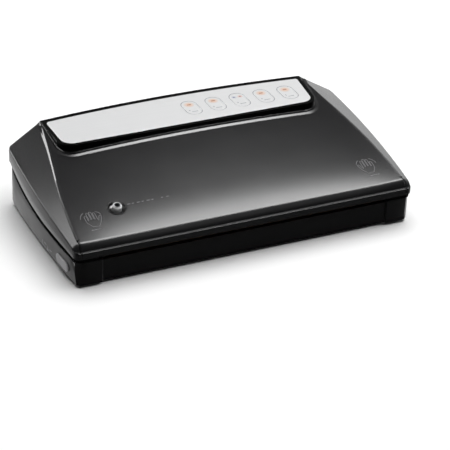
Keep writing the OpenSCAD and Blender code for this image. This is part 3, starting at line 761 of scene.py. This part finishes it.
def at_port(made):
    """Stands a piece made about the origin square to the lid, at the hose port."""
    place = Vector((PORT_X, PORT_Y, surface_at(PORT_X, PORT_Y))) * MM
    made.data.transform(Matrix.Translation(place) @ Matrix.Rotation(math.radians(PORT_SLOPE), 4, "X"))
    return made


def cap_rows(rear):
    """Places along an end of the lid, dense where its front and rear are rounded."""
    near = [0, 0.12, 0.35, 0.7, 1.1, 1.7, 2.3, 2.65, 2.75, 3.0, 3.5, 4.2, 5.2, 6.6, 8.2, 9.8, 11.2]
    rows = [FRONT + d for d in near + [12.7, 14]]
    rows += [FRONT + 14 + (rear - 14 - FRONT - 14) * i / 24 for i in range(1, 25)]
    return rows + [rear - d for d in (10, 7.5, 5.6, 4.2, 3, 2, 1.2, 0.6, 0.2, 0)]


def cap_section(y, rear):
    """(x, z) points round an end of the lid: inner edge, facet, outer crease, wall and lower edge."""
    inner_lift = 3.7
    inner_x = crease_at(y) + CREASE_GAP
    outer_x = bow_at(y) - corner_pull(y - FRONT, CAP_FRONT_R) - corner_pull(rear - y, CAP_REAR_R)
    outer_x = max(outer_x, inner_x + 0.05)
    width = outer_x - inner_x
    r1 = min(1.3, width * 0.3)
    r2 = min(1.8, width * 0.45)
    lean = CREASE_LEAN * rear_share(y)
    base = skirt_at(y)

    def facet(x):
        if y < FRONT + LIP_STEP:
            return lip_at(y)
        rolled = facet_at(y) - FALL * x - lean * (outer_x - x)
        rolled -= 1.2 * corner_pull(rear - y, 2.0) + roll_drop(y)
        return max(rolled, LIP_TOP)

    tilt = math.atan(FALL)
    turn = math.pi / 2 - tilt
    reach = r2 * math.tan(turn / 2)
    shoulder_x = outer_x - reach * math.cos(tilt)
    center = (outer_x - r2, facet(outer_x) - reach)
    section = [(inner_x, base + inner_lift), (inner_x, facet(inner_x) - 2.2 * r1)]
    section += arc(inner_x + r1, facet(inner_x + r1) - r1, r1, 180, 90, 5)[1:]
    across = [inner_x + r1 + (shoulder_x - inner_x - r1) * i / 7 for i in range(1, 8)]
    section += [(x, facet(x)) for x in across]
    section += arc(*center, r2, 90 - math.degrees(tilt), 0, 7)[1:]
    middle = (center[1] + base) / 2
    lip = min(0.6, width / 3)
    wall_x = outer_x - min(WALL, width / 2)
    section += [(outer_x, middle), (outer_x, base + lip), (outer_x - lip * 0.3, base + lip * 0.3)]
    return section + [(outer_x - lip, base), (wall_x, base), (wall_x, base + inner_lift)]


def make_side_cap(side):
    """An end of the lid. Its rear follows the bow of the lid's rear edge."""
    rear = rear_at(175)
    sections = []
    for y in cap_rows(rear):
        share = (y - FRONT) / (rear - FRONT)
        section = cap_section(y, rear)
        sections.append([(side * x, y + (rear_at(x) - rear) * share, z) for x, z in section])
    name = "side_cap_" + END_NAMES[side]
    piece(name + "_shell", *closed_loft(sections), "lid", "cap_black", name)


def make_crease_ledge(side):
    """The cap's flange that the cover's edge lies on, which closes the joint between them."""
    path = []
    for i in range(31):
        y = FRONT + 3 + (REAR - 9 - FRONT - 3) * i / 30
        drop = roll_drop(y)
        path.append((side * crease_at(y), y, lid_at(y) - 1.4 - drop))
    solids = [swept(path, [(-2.2, -1.2), (2.2, -1.2), (2.2, 0), (-2.2, 0)], closed=False)]
    for (x, _, top), y, low in ((path[-1], rear_at(path[-1][0]) - 3.6, LID_REAR_Z + 1),
                                (path[0], FRONT + 3, SEAM_Z + LID_GAP + 0.6)):
        corners = [(x - 3, y), (x + 3, y), (x + 3, y + 1.2), (x - 3, y + 1.2)]
        solids.append(closed_loft([[(a, b, z) for a, b in corners] for z in (low, top)]))
    piece("crease_ledge_" + END_NAMES[side], *joined(solids), "lid", "cap_black")


def make_crease_edge(side):
    """The cover's edge stands above the cap, most of all towards the rear."""
    sections = []
    height = 1.0 if side < 0 else 0.4
    for i in range(49):
        t = i / 48
        y = REAR - 9.5 - (REAR - 9.5 + 92) * t
        share = (1 - t) ** 2 * min(1, t / 0.12)
        w = 0.7 + 2.0 * share
        h = 0.16 + height * (0.3 + 0.8 * share)
        x = crease_at(y)
        z = surface_at(x, y) - roll_drop(y)
        face = [(x + w, z - FALL * w - 3.5), (x + w, z - FALL * w + 0.03), (x - 0.1 * w, z + h - 0.12),
                (x - 0.3 * w - 0.1, z + h), (x - 0.7 * w - 0.5, z + h - 0.12),
                (x - 1.6 * w - 1.2, z + 0.04), (x - 1.6 * w - 1.2, z - 2.0)]
        sections.append([(side * a, y, b) for a, b in face])
    piece("crease_edge_" + END_NAMES[side], *closed_loft(sections), "lid", "lid_black", sharp=24)


def console_path(outset, last_y, lift):
    """Along the console's edge on the lid's surface, from the rear left to the rear right."""
    return [(x, y, surface_at(x, y) + lift) for x, y in console_outline(outset) if y < last_y]


def make_console_rim():
    """The cover swells up to the console's opening, and a thin foot runs round the bezel."""
    swell = [(4.6, -0.35), (4.6, -0.08), (3.4, 0.12), (2.2, 0.36), (1.2, 0.58), (0.55, 0.66), (0.1, 0.6)]
    swell += [(-0.2, 0.4), (-0.3, 0.05), (-0.3, -2.2), (0.6, -2.2), (1.2, -0.35)]
    path = console_path(BEZEL_W + 1.5, 92, 0)
    ups = [lid_normal(x, y) for x, y, _ in path]
    piece("console_rim", *swept(path, swell, closed=False, ups=ups), "lid", "cap_black", sharp=40)
    foot = [(0.7, -2.5), (0.7, -0.1), (0.6, 0.05), (-0.5, 0.5), (-0.5, -2.5)]
    path = console_path(BEZEL_W + 0.2, 94, 0.9)
    piece("console_foot", *swept(path, foot, closed=False), "lid", "cap_black", sharp=60)


def make_port():
    """The hose port: a bright nozzle with a bore, in a dark dish with a raised rim."""
    nozzle = [(3.3, -14), (3.3, 3.5), (3.45, 3.85), (3.8, 4.0), (4.0, 3.9), (4.15, 3.6), (4.2, 3.1)]
    nozzle += [(4.25, 2.85), (4.7, 2.7), (4.93, 2.5), (5.0, 2.2), (5.0, -3.9), (8.4, -3.9), (8.4, -5.6)]
    nozzle += [(5.0, -5.6), (5.0, -14)]
    at_port(piece("port_nozzle", *lathe(nozzle, 72), "lid", "bright_metal", "accessory_port"))
    sleeve = [(3.32, -13), (3.32, 3.3), (3.1, 3.3), (3.1, -13)]
    at_port(piece("port_sleeve", *lathe(sleeve, 48), "lid", "zinc_steel"))
    dish = [(5.1, -4), (5.1, -2.75), (5.6, -2.6), (7.4, -2.5), (8.2, -2.0), (8.55, -1.0), (8.75, 0.1)]
    dish += [(9.0, 0.38), (9.4, 0.4), (9.62, 0.2), (9.7, -0.2), (9.7, -4)]
    at_port(piece("port_dish", *lathe(dish, 72), "lid", "collar_black", "port_collar"))
    rim = arc(PORT_RING_R + 0.45, -0.1, 0.6, 0, 360, 12)[:-1]
    at_port(piece("port_rim", *lathe(rim, 72), "lid", "lid_black", sharp=60))


# ---- keys, lights and printed marks

PANEL_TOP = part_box("control_panel")[1].z / MM
FILM = 0.04


def light_of(key):
    return "food_lights" if key == "food" else key + "_light"


def middle_of(node):
    low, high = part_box(node)
    return (low.x + high.x) / 2 / MM, (low.y + high.y) / 2 / MM


def flat_ring(cx, cy, outer, inner, z0, z1):
    """A flat band between two outlines that have the same number of points."""
    rings = [(outer, z0), (outer, z1), (inner, z1), (inner, z0)]
    return looped_loft([[(cx + p.x, cy + p.y, z) for p in ring] for ring, z in rings])


def make_key_marks(key, body, glows):
    """The outline round a key, the painted glow of its lights and two short strokes for its caption."""
    cx, cy = middle_of(key + "_key")
    outer, inner = stadium(18.3, 32.5), stadium(17.4, 31.6)
    ring = flat_ring(cx, cy, outer, inner, PANEL_TOP - FILM, PANEL_TOP + FILM)
    piece(key + "_outline", *ring, "lid", "panel_print")
    light_y = middle_of(light_of(key))[1]
    for i, (dx, painted_glow) in enumerate(glows):
        radius = 6.6 if len(glows) == 1 else 3.4
        disc = [Vector((cx + dx + 1.05 * radius * math.cos(a), light_y + radius * math.sin(a)))
                for a in [2 * math.pi * k / 40 for k in range(40)]]
        levels = [(PANEL_TOP - FILM, 0), (PANEL_TOP + FILM / 2, 0)]
        # a disc in a glow look: the light's glow painted on the steel
        piece(f"{key}_glow_{i}", *prism(disc, levels), body, painted_glow)
    label = [[(cx - 3.4, cy - 9.2), (cx + 3.6, cy - 9.2)], [(cx - 5.0, cy - 4.6), (cx - 4.2, cy - 6.6)]]
    solids = []
    for line in label:
        path = [(x, y, PANEL_TOP) for x, y in line]
        solids.append(swept(path, flat_section(0.75), closed=False))
    piece(key + "_label", *joined(solids), body, "panel_print")


def flat_section(width):
    """Section of a printed line, half sunk into its surface."""
    return [(-width / 2, -FILM), (width / 2, -FILM), (width / 2, FILM), (-width / 2, FILM)]


def make_light(node, body):
    """The light's window, a hair proud of its key."""
    low, high = box_mm(node)
    parts = [(low.x, high.x)] if high.x - low.x < 6 else [(low.x, low.x + 1.6), (high.x - 1.6, high.x)]
    solids = []
    for x0, x1 in parts:
        corners = [(x0, low.y), (x1, low.y), (x1, high.y), (x0, high.y)]
        outline = rounded([(x, y, 0.4) for x, y in corners], 4)
        solids.append(prism(outline, [(low.z, 0), (PANEL_TOP + 0.05, 0), (PANEL_TOP + 0.1, 0.08)]))
    piece(node + "_window", *joined(solids), body, SLOTS[node], node)


def lid_print(name, strokes, width):
    """Thin lines on the lid's surface. Each stroke is a list of (x, y) points."""
    solids = []
    for points in strokes:
        path = [(x, y, surface_at(x, y)) for x, y in points]
        ups = [lid_normal(x, y) for x, y in points]
        solids.append(swept(path, flat_section(width), closed=False, ups=ups))
    piece(name, *joined(solids), "lid", "lid_print")


def hand_strokes(cx, cy, side):
    """An open hand in outline, with a thumb towards the middle of the lid."""
    outline = [(-6.9, -4.5)]
    for x, tip, root in ((-6.3, 4.6, -1.5), (-3.0, 8.4, -0.6), (0.4, 9.2, -0.4), (3.8, 7.2, -1.2)):
        outline += [(x - 1.2, root)] + arc(x, tip, 1.2, 180, 0, 6) + [(x + 1.2, root)]
    outline += [(5.4, -3.4)] + arc(9.0, 2.2, 1.2, 150, -40, 6)
    outline += [(7.2, -5.5), (3.6, -10.5), (-3.2, -10.5)]
    outline.append(outline[0])
    rays = [arc(-1.5, 1, 10.6, 118, 172, 8), arc(1.5, 1, 9.8, 20, 62, 6)]
    return [[(cx - side * x, cy + y) for x, y in stroke] for stroke in [outline] + rays]


def make_lid_marks():
    """Two hands with bars below them, and a row of dashes for the port's caption."""
    lid_print("hand_left", hand_strokes(-158.2, -67.5, -1), 0.5)
    lid_print("hand_right", hand_strokes(155, -67.8, 1), 0.5)
    lid_print("press_bars", [[(-165, -82.3), (-154.5, -82.3)], [(152, -82.3), (162.5, -82.3)]], 0.8)
    dashes = [(-116.5 + 5.4 * i, 3.4 - 1.3 * (i % 2)) for i in range(9) if i != 6]
    lid_print("port_dashes", [[(x, -57.2), (x + length, -57.2)] for x, length in dashes], 0.9)


def make_base_marks():
    """An arrow and two bars on the base's left-hand end, beside the release button."""
    strokes = [[(-17, 12.6), (-17, 7.6), (-25, 7.6)], [(-22, 12.4), (-28, 12.4)],
               [(-32, 12.6), (-32, 7.4)], [(-30, 9.4), (-32, 7.4), (-34, 9.4)], [(-37, 11), (-42, 11)]]
    solids = []
    for points in strokes:
        path = [(BASE_INSET - SKIN - bow_at(y), y, z) for y, z in points]
        solids.append(swept(path, flat_section(0.6), closed=False, ups=[(-1, 0, 0)] * len(path)))
    piece("base_marks", *joined(solids), "base", "base_print")


# ---- seals, springs and screws

def make_gasket(node, body, top_round):
    """A foam loop with a rounded sealing edge, at the top or at the bottom."""
    low, high = box_mm(node)
    half = 2.5
    middle = round_rect(high.x - half, low.y + half, high.y - half, 11.5, 10)
    r = 1.9
    square = [(-half, low.z), (half, low.z)]
    dome = arc(half - r, high.z - r, r, 0, 90, 6) + arc(r - half, high.z - r, r, 90, 180, 6)
    section = square + dome
    if not top_round:
        section = [(a, low.z + high.z - b) for a, b in section]
    path = []
    for here, after in zip(middle, middle[1:] + middle[:1]):
        steps = max(1, int((after - here).length / 12))
        path += [here.lerp(after, k / steps) for k in range(steps)]
    solid = swept([(p.x, p.y, 0) for p in path], section)
    piece(node + "_foam", *solid, body, SLOTS[node], node, sharp=50)


def make_pressure_strip():
    """The silicone bar under the lid, with its lower edges rounded."""
    low, high = box_mm("pressure_strip")
    mid = (low.y + high.y) / 2
    half = (high.y - low.y) / 2
    r = 1.8
    section = [(mid + half, high.z), (mid - half, high.z)]
    section += arc(mid - half + r, low.z + r, r, 180, 270, 6)
    section += arc(mid + half - r, low.z + r, r, 270, 360, 6)
    solid = closed_loft([[(x, y, z) for y, z in section] for x in spaced(low.x, high.x, 12)])
    piece("pressure_strip_pad", *solid, "lid", SLOTS["pressure_strip"], "pressure_strip", sharp=50)


def make_spring(node):
    """A coil of round wire that fills the CAD spring's box."""
    low, high = box_mm(node)
    wire = 0.2
    coil_r = (high.y - low.y) / 2 - wire
    mid_y, mid_z = (low.y + high.y) / 2, (low.z + high.z) / 2
    turns, steps = 13, 16
    path = []
    for i in range(turns * steps + 1):
        a = 2 * math.pi * i / steps
        x = low.x + wire + (high.x - low.x - 2 * wire) * i / (turns * steps)
        path.append((x, mid_y + coil_r * math.cos(a), mid_z + coil_r * math.sin(a)))
    section = arc(0, 0, wire, 0, 360, 8)[:-1]
    solid = swept(path, section, closed=False, ups=[(1, 0, 0)] * len(path))
    piece(node + "_coil", *solid, BODY_OF[node], SLOTS[node], node, sharp=60)


def make_screws(node, depth):
    """Pan heads with a cross recess."""
    made = soft_copy(node, 0.3, 3)
    half, arm = 1.7, 0.35
    plus = [(arm, half), (-arm, half), (-arm, arm), (-half, arm), (-half, -arm), (-arm, -arm)]
    plus += [(-x, -y) for x, y in plus]
    solids = []
    for part in islands(made):
        low_z = min(p.z for p in part)
        head = [p for p in part if p.z < low_z + 0.5]
        cx = (min(p.x for p in head) + max(p.x for p in head)) / 2
        cy = (min(p.y for p in head) + max(p.y for p in head)) / 2
        ends = (low_z - 1, low_z + depth)
        solids.append(closed_loft([[(cx + x, cy + y, z) for x, y in plus] for z in ends]))
    cut(made, tool(*joined(solids)))
    settle(made, BODY_OF[node], SLOTS[node], node)


def islands(made):
    """The points of each separate solid in a piece, in millimetres."""
    shape = bmesh.new()
    shape.from_mesh(made.data)
    left = set(shape.verts)
    groups = []
    while left:
        queue = [left.pop()]
        group = []
        while queue:
            vert = queue.pop()
            group.append(vert.co / MM)
            for edge in vert.link_edges:
                other = edge.other_vert(vert)
                if other in left:
                    left.discard(other)
                    queue.append(other)
        groups.append(group)
    shape.free()
    return groups


# ---- base

BASE_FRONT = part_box("base_shell")[0].y / MM
FOOT_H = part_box("base_shell")[0].z / MM
MOUTH_HALF = 161.0
MOUTH_DEPTH = 2.7
SKIN = 0.06
END_DRAFT = 2.0
BASE_INSET = 1


def base_outline():
    """Plan of the base, anticlockwise, with the recess between the corner blocks."""
    front = BASE_FRONT + SKIN
    back = front + MOUTH_DEPTH
    side = bow_at(BASE_FRONT) - BASE_INSET - SKIN
    corners = [(-side, front, 5), (-MOUTH_HALF - SKIN, front, 1.6), (-MOUTH_HALF - SKIN, back, 0.9)]
    corners += [(MOUTH_HALF + SKIN, back, 0.9), (MOUTH_HALF + SKIN, front, 1.6), (side, front, 5)]
    ys = [-84 + 8 * i for i in range(21)]
    corners += [(bow_at(y) - BASE_INSET - SKIN, y, 0) for y in ys]
    corners += [(bow_at(88) - 2.5, 86.5, 6), (182.5, 92.4, 4)]
    xs = [168 - 12 * i for i in range(29)]
    corners += [(x, rear_at(x) - BASE_INSET - SKIN, 0) for x in xs]
    corners += [(-182.5, 92.4, 4), (2.5 - bow_at(88), 86.5, 6)]
    corners += [(BASE_INSET + SKIN - bow_at(y), y, 0) for y in ys[::-1]]
    return rounded(corners, 7)


def rim_at(y):
    """Height of the base's upper edge."""
    return min(seam_at(y), LID_REAR_Z - 2.4) - 0.5 - 0.9 * end_share(y)


def end_draft(side):
    """The wedge that tapers an end of the base inwards towards the floor."""
    sections = []
    for i in range(29):
        y = -112 + 8 * i
        end = bow_at(min(y, 96)) - BASE_INSET
        low, high = FOOT_H - 3, 28.5
        wedge = [(end + 5, low), (end - END_DRAFT, low), (end + 0.02, high), (end + 5, high)]
        sections.append([(side * x, y, z) for x, z in wedge])
    return closed_loft(sections)


def end_trim(side):
    """What comes off the top of the base's wall along an end, to open the joint with the lid."""
    sections = []
    for i in range(25):
        y = -110 + 8 * i
        end = bow_at(y) - BASE_INSET
        rim = rim_at(y)
        block = [(end + 5, rim), (end - 3.4, rim), (end - 3.4, rim + 9), (end + 5, rim + 9)]
        sections.append([(side * x, y, z) for x, z in block])
    return closed_loft(sections)


def make_gap_shade_wall(side):
    """Painted shade: a near-black wall inside the gap between the lid and the base, along one end, so
    that the gap reads dark.
    """
    corners = [(166, FRONT + 2.2, 0), (bow_at(FRONT) - 2.3, FRONT + 2.2, 4)]
    corners += [(bow_at(y) - 2.3, y, 0) for y in range(-88, 81, 12)]
    path = [(side * p.x, p.y, rim_at(p.y) + 0.7) for p in rounded(corners, 7)]
    solid = swept(path, [(-0.5, 0), (0.5, 0), (0.5, 7), (-0.5, 7)], closed=False)
    # the wall's near-black look paints the shade in the gap
    piece("lid_skirt_" + END_NAMES[side], *solid, "lid", "shadow_black")


def make_rim_shade_strip(side):
    """Painted shade: a near-black strip on top of the base's wall, along one end, that darkens the joint
    under the lid.
    """
    path = [(side * (bow_at(y) - 2.4), y, rim_at(y)) for y in range(-98, 71, 8)]
    section = [(-1.0, -0.4), (1.0, -0.4), (1.0, 0.12), (-1.0, 0.12)]
    solid = swept(path, section, closed=False)
    # the strip's near-black look paints the shade of the joint
    piece("rim_seal_" + END_NAMES[side], *solid, "base", "shadow_black")


def make_base():
    """The CAD moulding, trimmed by a form with a rounded foot and a rounded upper edge."""
    made = copied("base_shell", "base_moulding")
    foot_rise, foot_in, rim_r, above_all = 5.5, 1.4, 0.5, 70
    levels = [(FOOT_H - 1, foot_in)]
    for a in (0, 15, 30, 45, 60, 75, 90):
        a = math.radians(a)
        levels.append((FOOT_H + foot_rise * (1 - math.cos(a)), foot_in * (1 - math.sin(a))))
    for a in (0, 22, 45, 68, 90):
        a = math.radians(a)
        height = lambda x, y, a=a: rim_at(y) - rim_r * (1 - math.sin(a))
        levels.append((height, rim_r * (1 - math.cos(a))))
    levels += [(above_all, rim_r)]
    cut(made, tool(*prism(base_outline(), levels)), "INTERSECT")
    for side in (-1, 1):
        cut(made, tool(*end_draft(side)))
        cut(made, tool(*end_trim(side)))
    settle(made, "base", "base_black", "base_shell", sharp=28)


make_cover()
for side in (-1, 1):
    make_side_cap(side)
for side in (-1, 1):
    make_crease_ledge(side)
    make_crease_edge(side)
    make_gap_shade_wall(side)
    make_rim_shade_strip(side)
make_console_rim()
make_port()
make_base()
soft_copy("console_bezel", 1.3, 4)
soft_copy("control_panel", 0.18, 2)
KEYS = ("seal", "vacuum", "food", "pulse", "stop")
for key in KEYS:
    soft_copy(key + "_key", 0.12, 2)
for end in ("left", "right"):
    soft_copy("release_button_" + end, 0.9, 4)
    make_spring("release_spring_" + end)
    soft_copy("latch_slide_" + end, 0.3, 2)
for key in KEYS:
    glows = [(-3.6, "blue_glow"), (3.6, "red_glow")] if key == "food" else [(0, "orange_glow")]
    make_key_marks(key, key + "_key", glows)
    make_light(light_of(key), key + "_key")
make_lid_marks()
make_base_marks()
make_gasket("lower_gasket", "base", True)
make_gasket("upper_gasket", "lid", False)
make_pressure_strip()
make_screws("base_screws", 0.8)
make_screws("lid_screws", 0.8)
for width, nodes in ((0.5, "base_plate drip_tray"), (0.3, "seal_bar"), (0.6, "lid_liner"),
                     (0.4, "hinge_brackets hinge_leaves hinge_pins"), (0.3, "latch_hooks"),
                     (0.8, "pump_housing pump_head pump_motor"), (0.4, "power_inlet port_duct"),
                     (0.3, "transformer_core"), (1.2, "transformer_coil"), (0.4, "board_parts"),
                     (0.5, "rubber_feet"), (0.2, "tact_switches"),
                     (0.4, "lid_magnet reed_switch inlet_pins"), (0.3, "vacuum_hose pump_diaphragm")):
    for node in nodes.split():
        soft_copy(node, width)


# ---- camera, floor and lights

def place_camera():
    """The photo's camera, as fitted to the corners of the machine."""
    target = Vector((0.0284, 0.0123, -0.0329))
    distance = 2.2846
    azimuth, elevation, roll = (math.radians(a) for a in (-25.65, 29.86, 2.07))
    back = Vector((math.sin(azimuth) * math.cos(elevation),
                   -math.cos(azimuth) * math.cos(elevation), math.sin(elevation)))
    data = bpy.data.cameras.new("camera")
    data.lens = 167.17
    data.sensor_width = 36.0
    camera = linked("camera", data)
    turn = back.to_track_quat("Z", "Y").to_matrix() @ Matrix.Rotation(roll, 3, "Z")
    camera.matrix_world = Matrix.Translation(target + back * distance) @ turn.to_4x4()
    bpy.context.scene.camera = camera


def lay_floor():
    half = 6000.0
    corners = [(-half, -half, 0), (half, -half, 0), (half, half, 0), (-half, half, 0)]
    floor = object_of(shape_of(corners, [(0, 1, 2, 3)]), "floor")
    look = Look("floor_white", (0.92, 0.92, 0.92), 0.85, specular=0.1)
    look.vary_color(look.noise(400, 2), 0.01)
    floor.data.materials.append(look.material)
    floor.visible_glossy = False


def softbox(name, center, aim, width, height, power, diffuse=False, glossy=True):
    data = bpy.data.lights.new(name, "AREA")
    data.shape = "RECTANGLE"
    data.size = width
    data.size_y = height
    data.energy = power
    light = linked(name, data)
    light.location = center
    direction = Vector(aim) - Vector(center)
    light.rotation_euler = direction.to_track_quat("-Z", "Y").to_euler()
    light.visible_camera = False
    light.visible_diffuse = diffuse
    light.visible_glossy = glossy


def light_world():
    """A pale surround at and below eye level, darker overhead and in front of the object."""
    world = bpy.data.worlds.new("studio")
    bpy.context.scene.world = world
    world.use_nodes = True
    nodes, links = world.node_tree.nodes, world.node_tree.links
    where = nodes.new("ShaderNodeTexCoord")
    parts = nodes.new("ShaderNodeSeparateXYZ")
    links.new(where.outputs["Generated"], parts.inputs["Vector"])

    def ramp(value, first, last, low, high):
        made = nodes.new("ShaderNodeMapRange")
        made.interpolation_type = "SMOOTHSTEP"
        set_range(made, first, last, low, high)
        links.new(value, made.inputs["Value"])
        return made.outputs["Result"]

    def product(first, second):
        made = nodes.new("ShaderNodeMath")
        made.operation = "MULTIPLY"
        links.new(first, made.inputs[0])
        links.new(second, made.inputs[1])
        return made.outputs["Value"]

    height = ramp(parts.outputs["Z"], 0.05, 0.5, 1.2, 0.11)
    depth = ramp(parts.outputs["Y"], -0.35, 0.4, 0.05, 1.0)
    left = ramp(parts.outputs["X"], -0.5, 0.0, 0.3, 1.1)
    below = ramp(parts.outputs["Z"], -0.72, -0.56, 0.0, 1.0)
    total = product(product(height, depth), product(left, below))
    nodes["Background"].inputs["Color"].default_value = (1, 1, 1, 1)
    links.new(total, nodes["Background"].inputs["Strength"])


place_camera()
lay_floor()
light_world()
bpy.context.scene.view_settings.view_transform = "Standard"
softbox("overhead", (0.5, 0.3, 2.4), (0.0, 0.0, 0.0), 4.0, 3.0, 118, diffuse=True, glossy=False)
softbox("nose_light", (0.43, 0.18, 1.05), (0.43, 0.18, 0.0), 0.8, 0.34, 16)
softbox("wing_light", (-0.72, 0.45, 1.0), (-0.15, 0, 0.05), 0.55, 0.55, 6)
softbox("edge_light", (-0.80, 1.05, 0.48), (-0.15, 0, 0.05), 0.45, 0.35, 7)
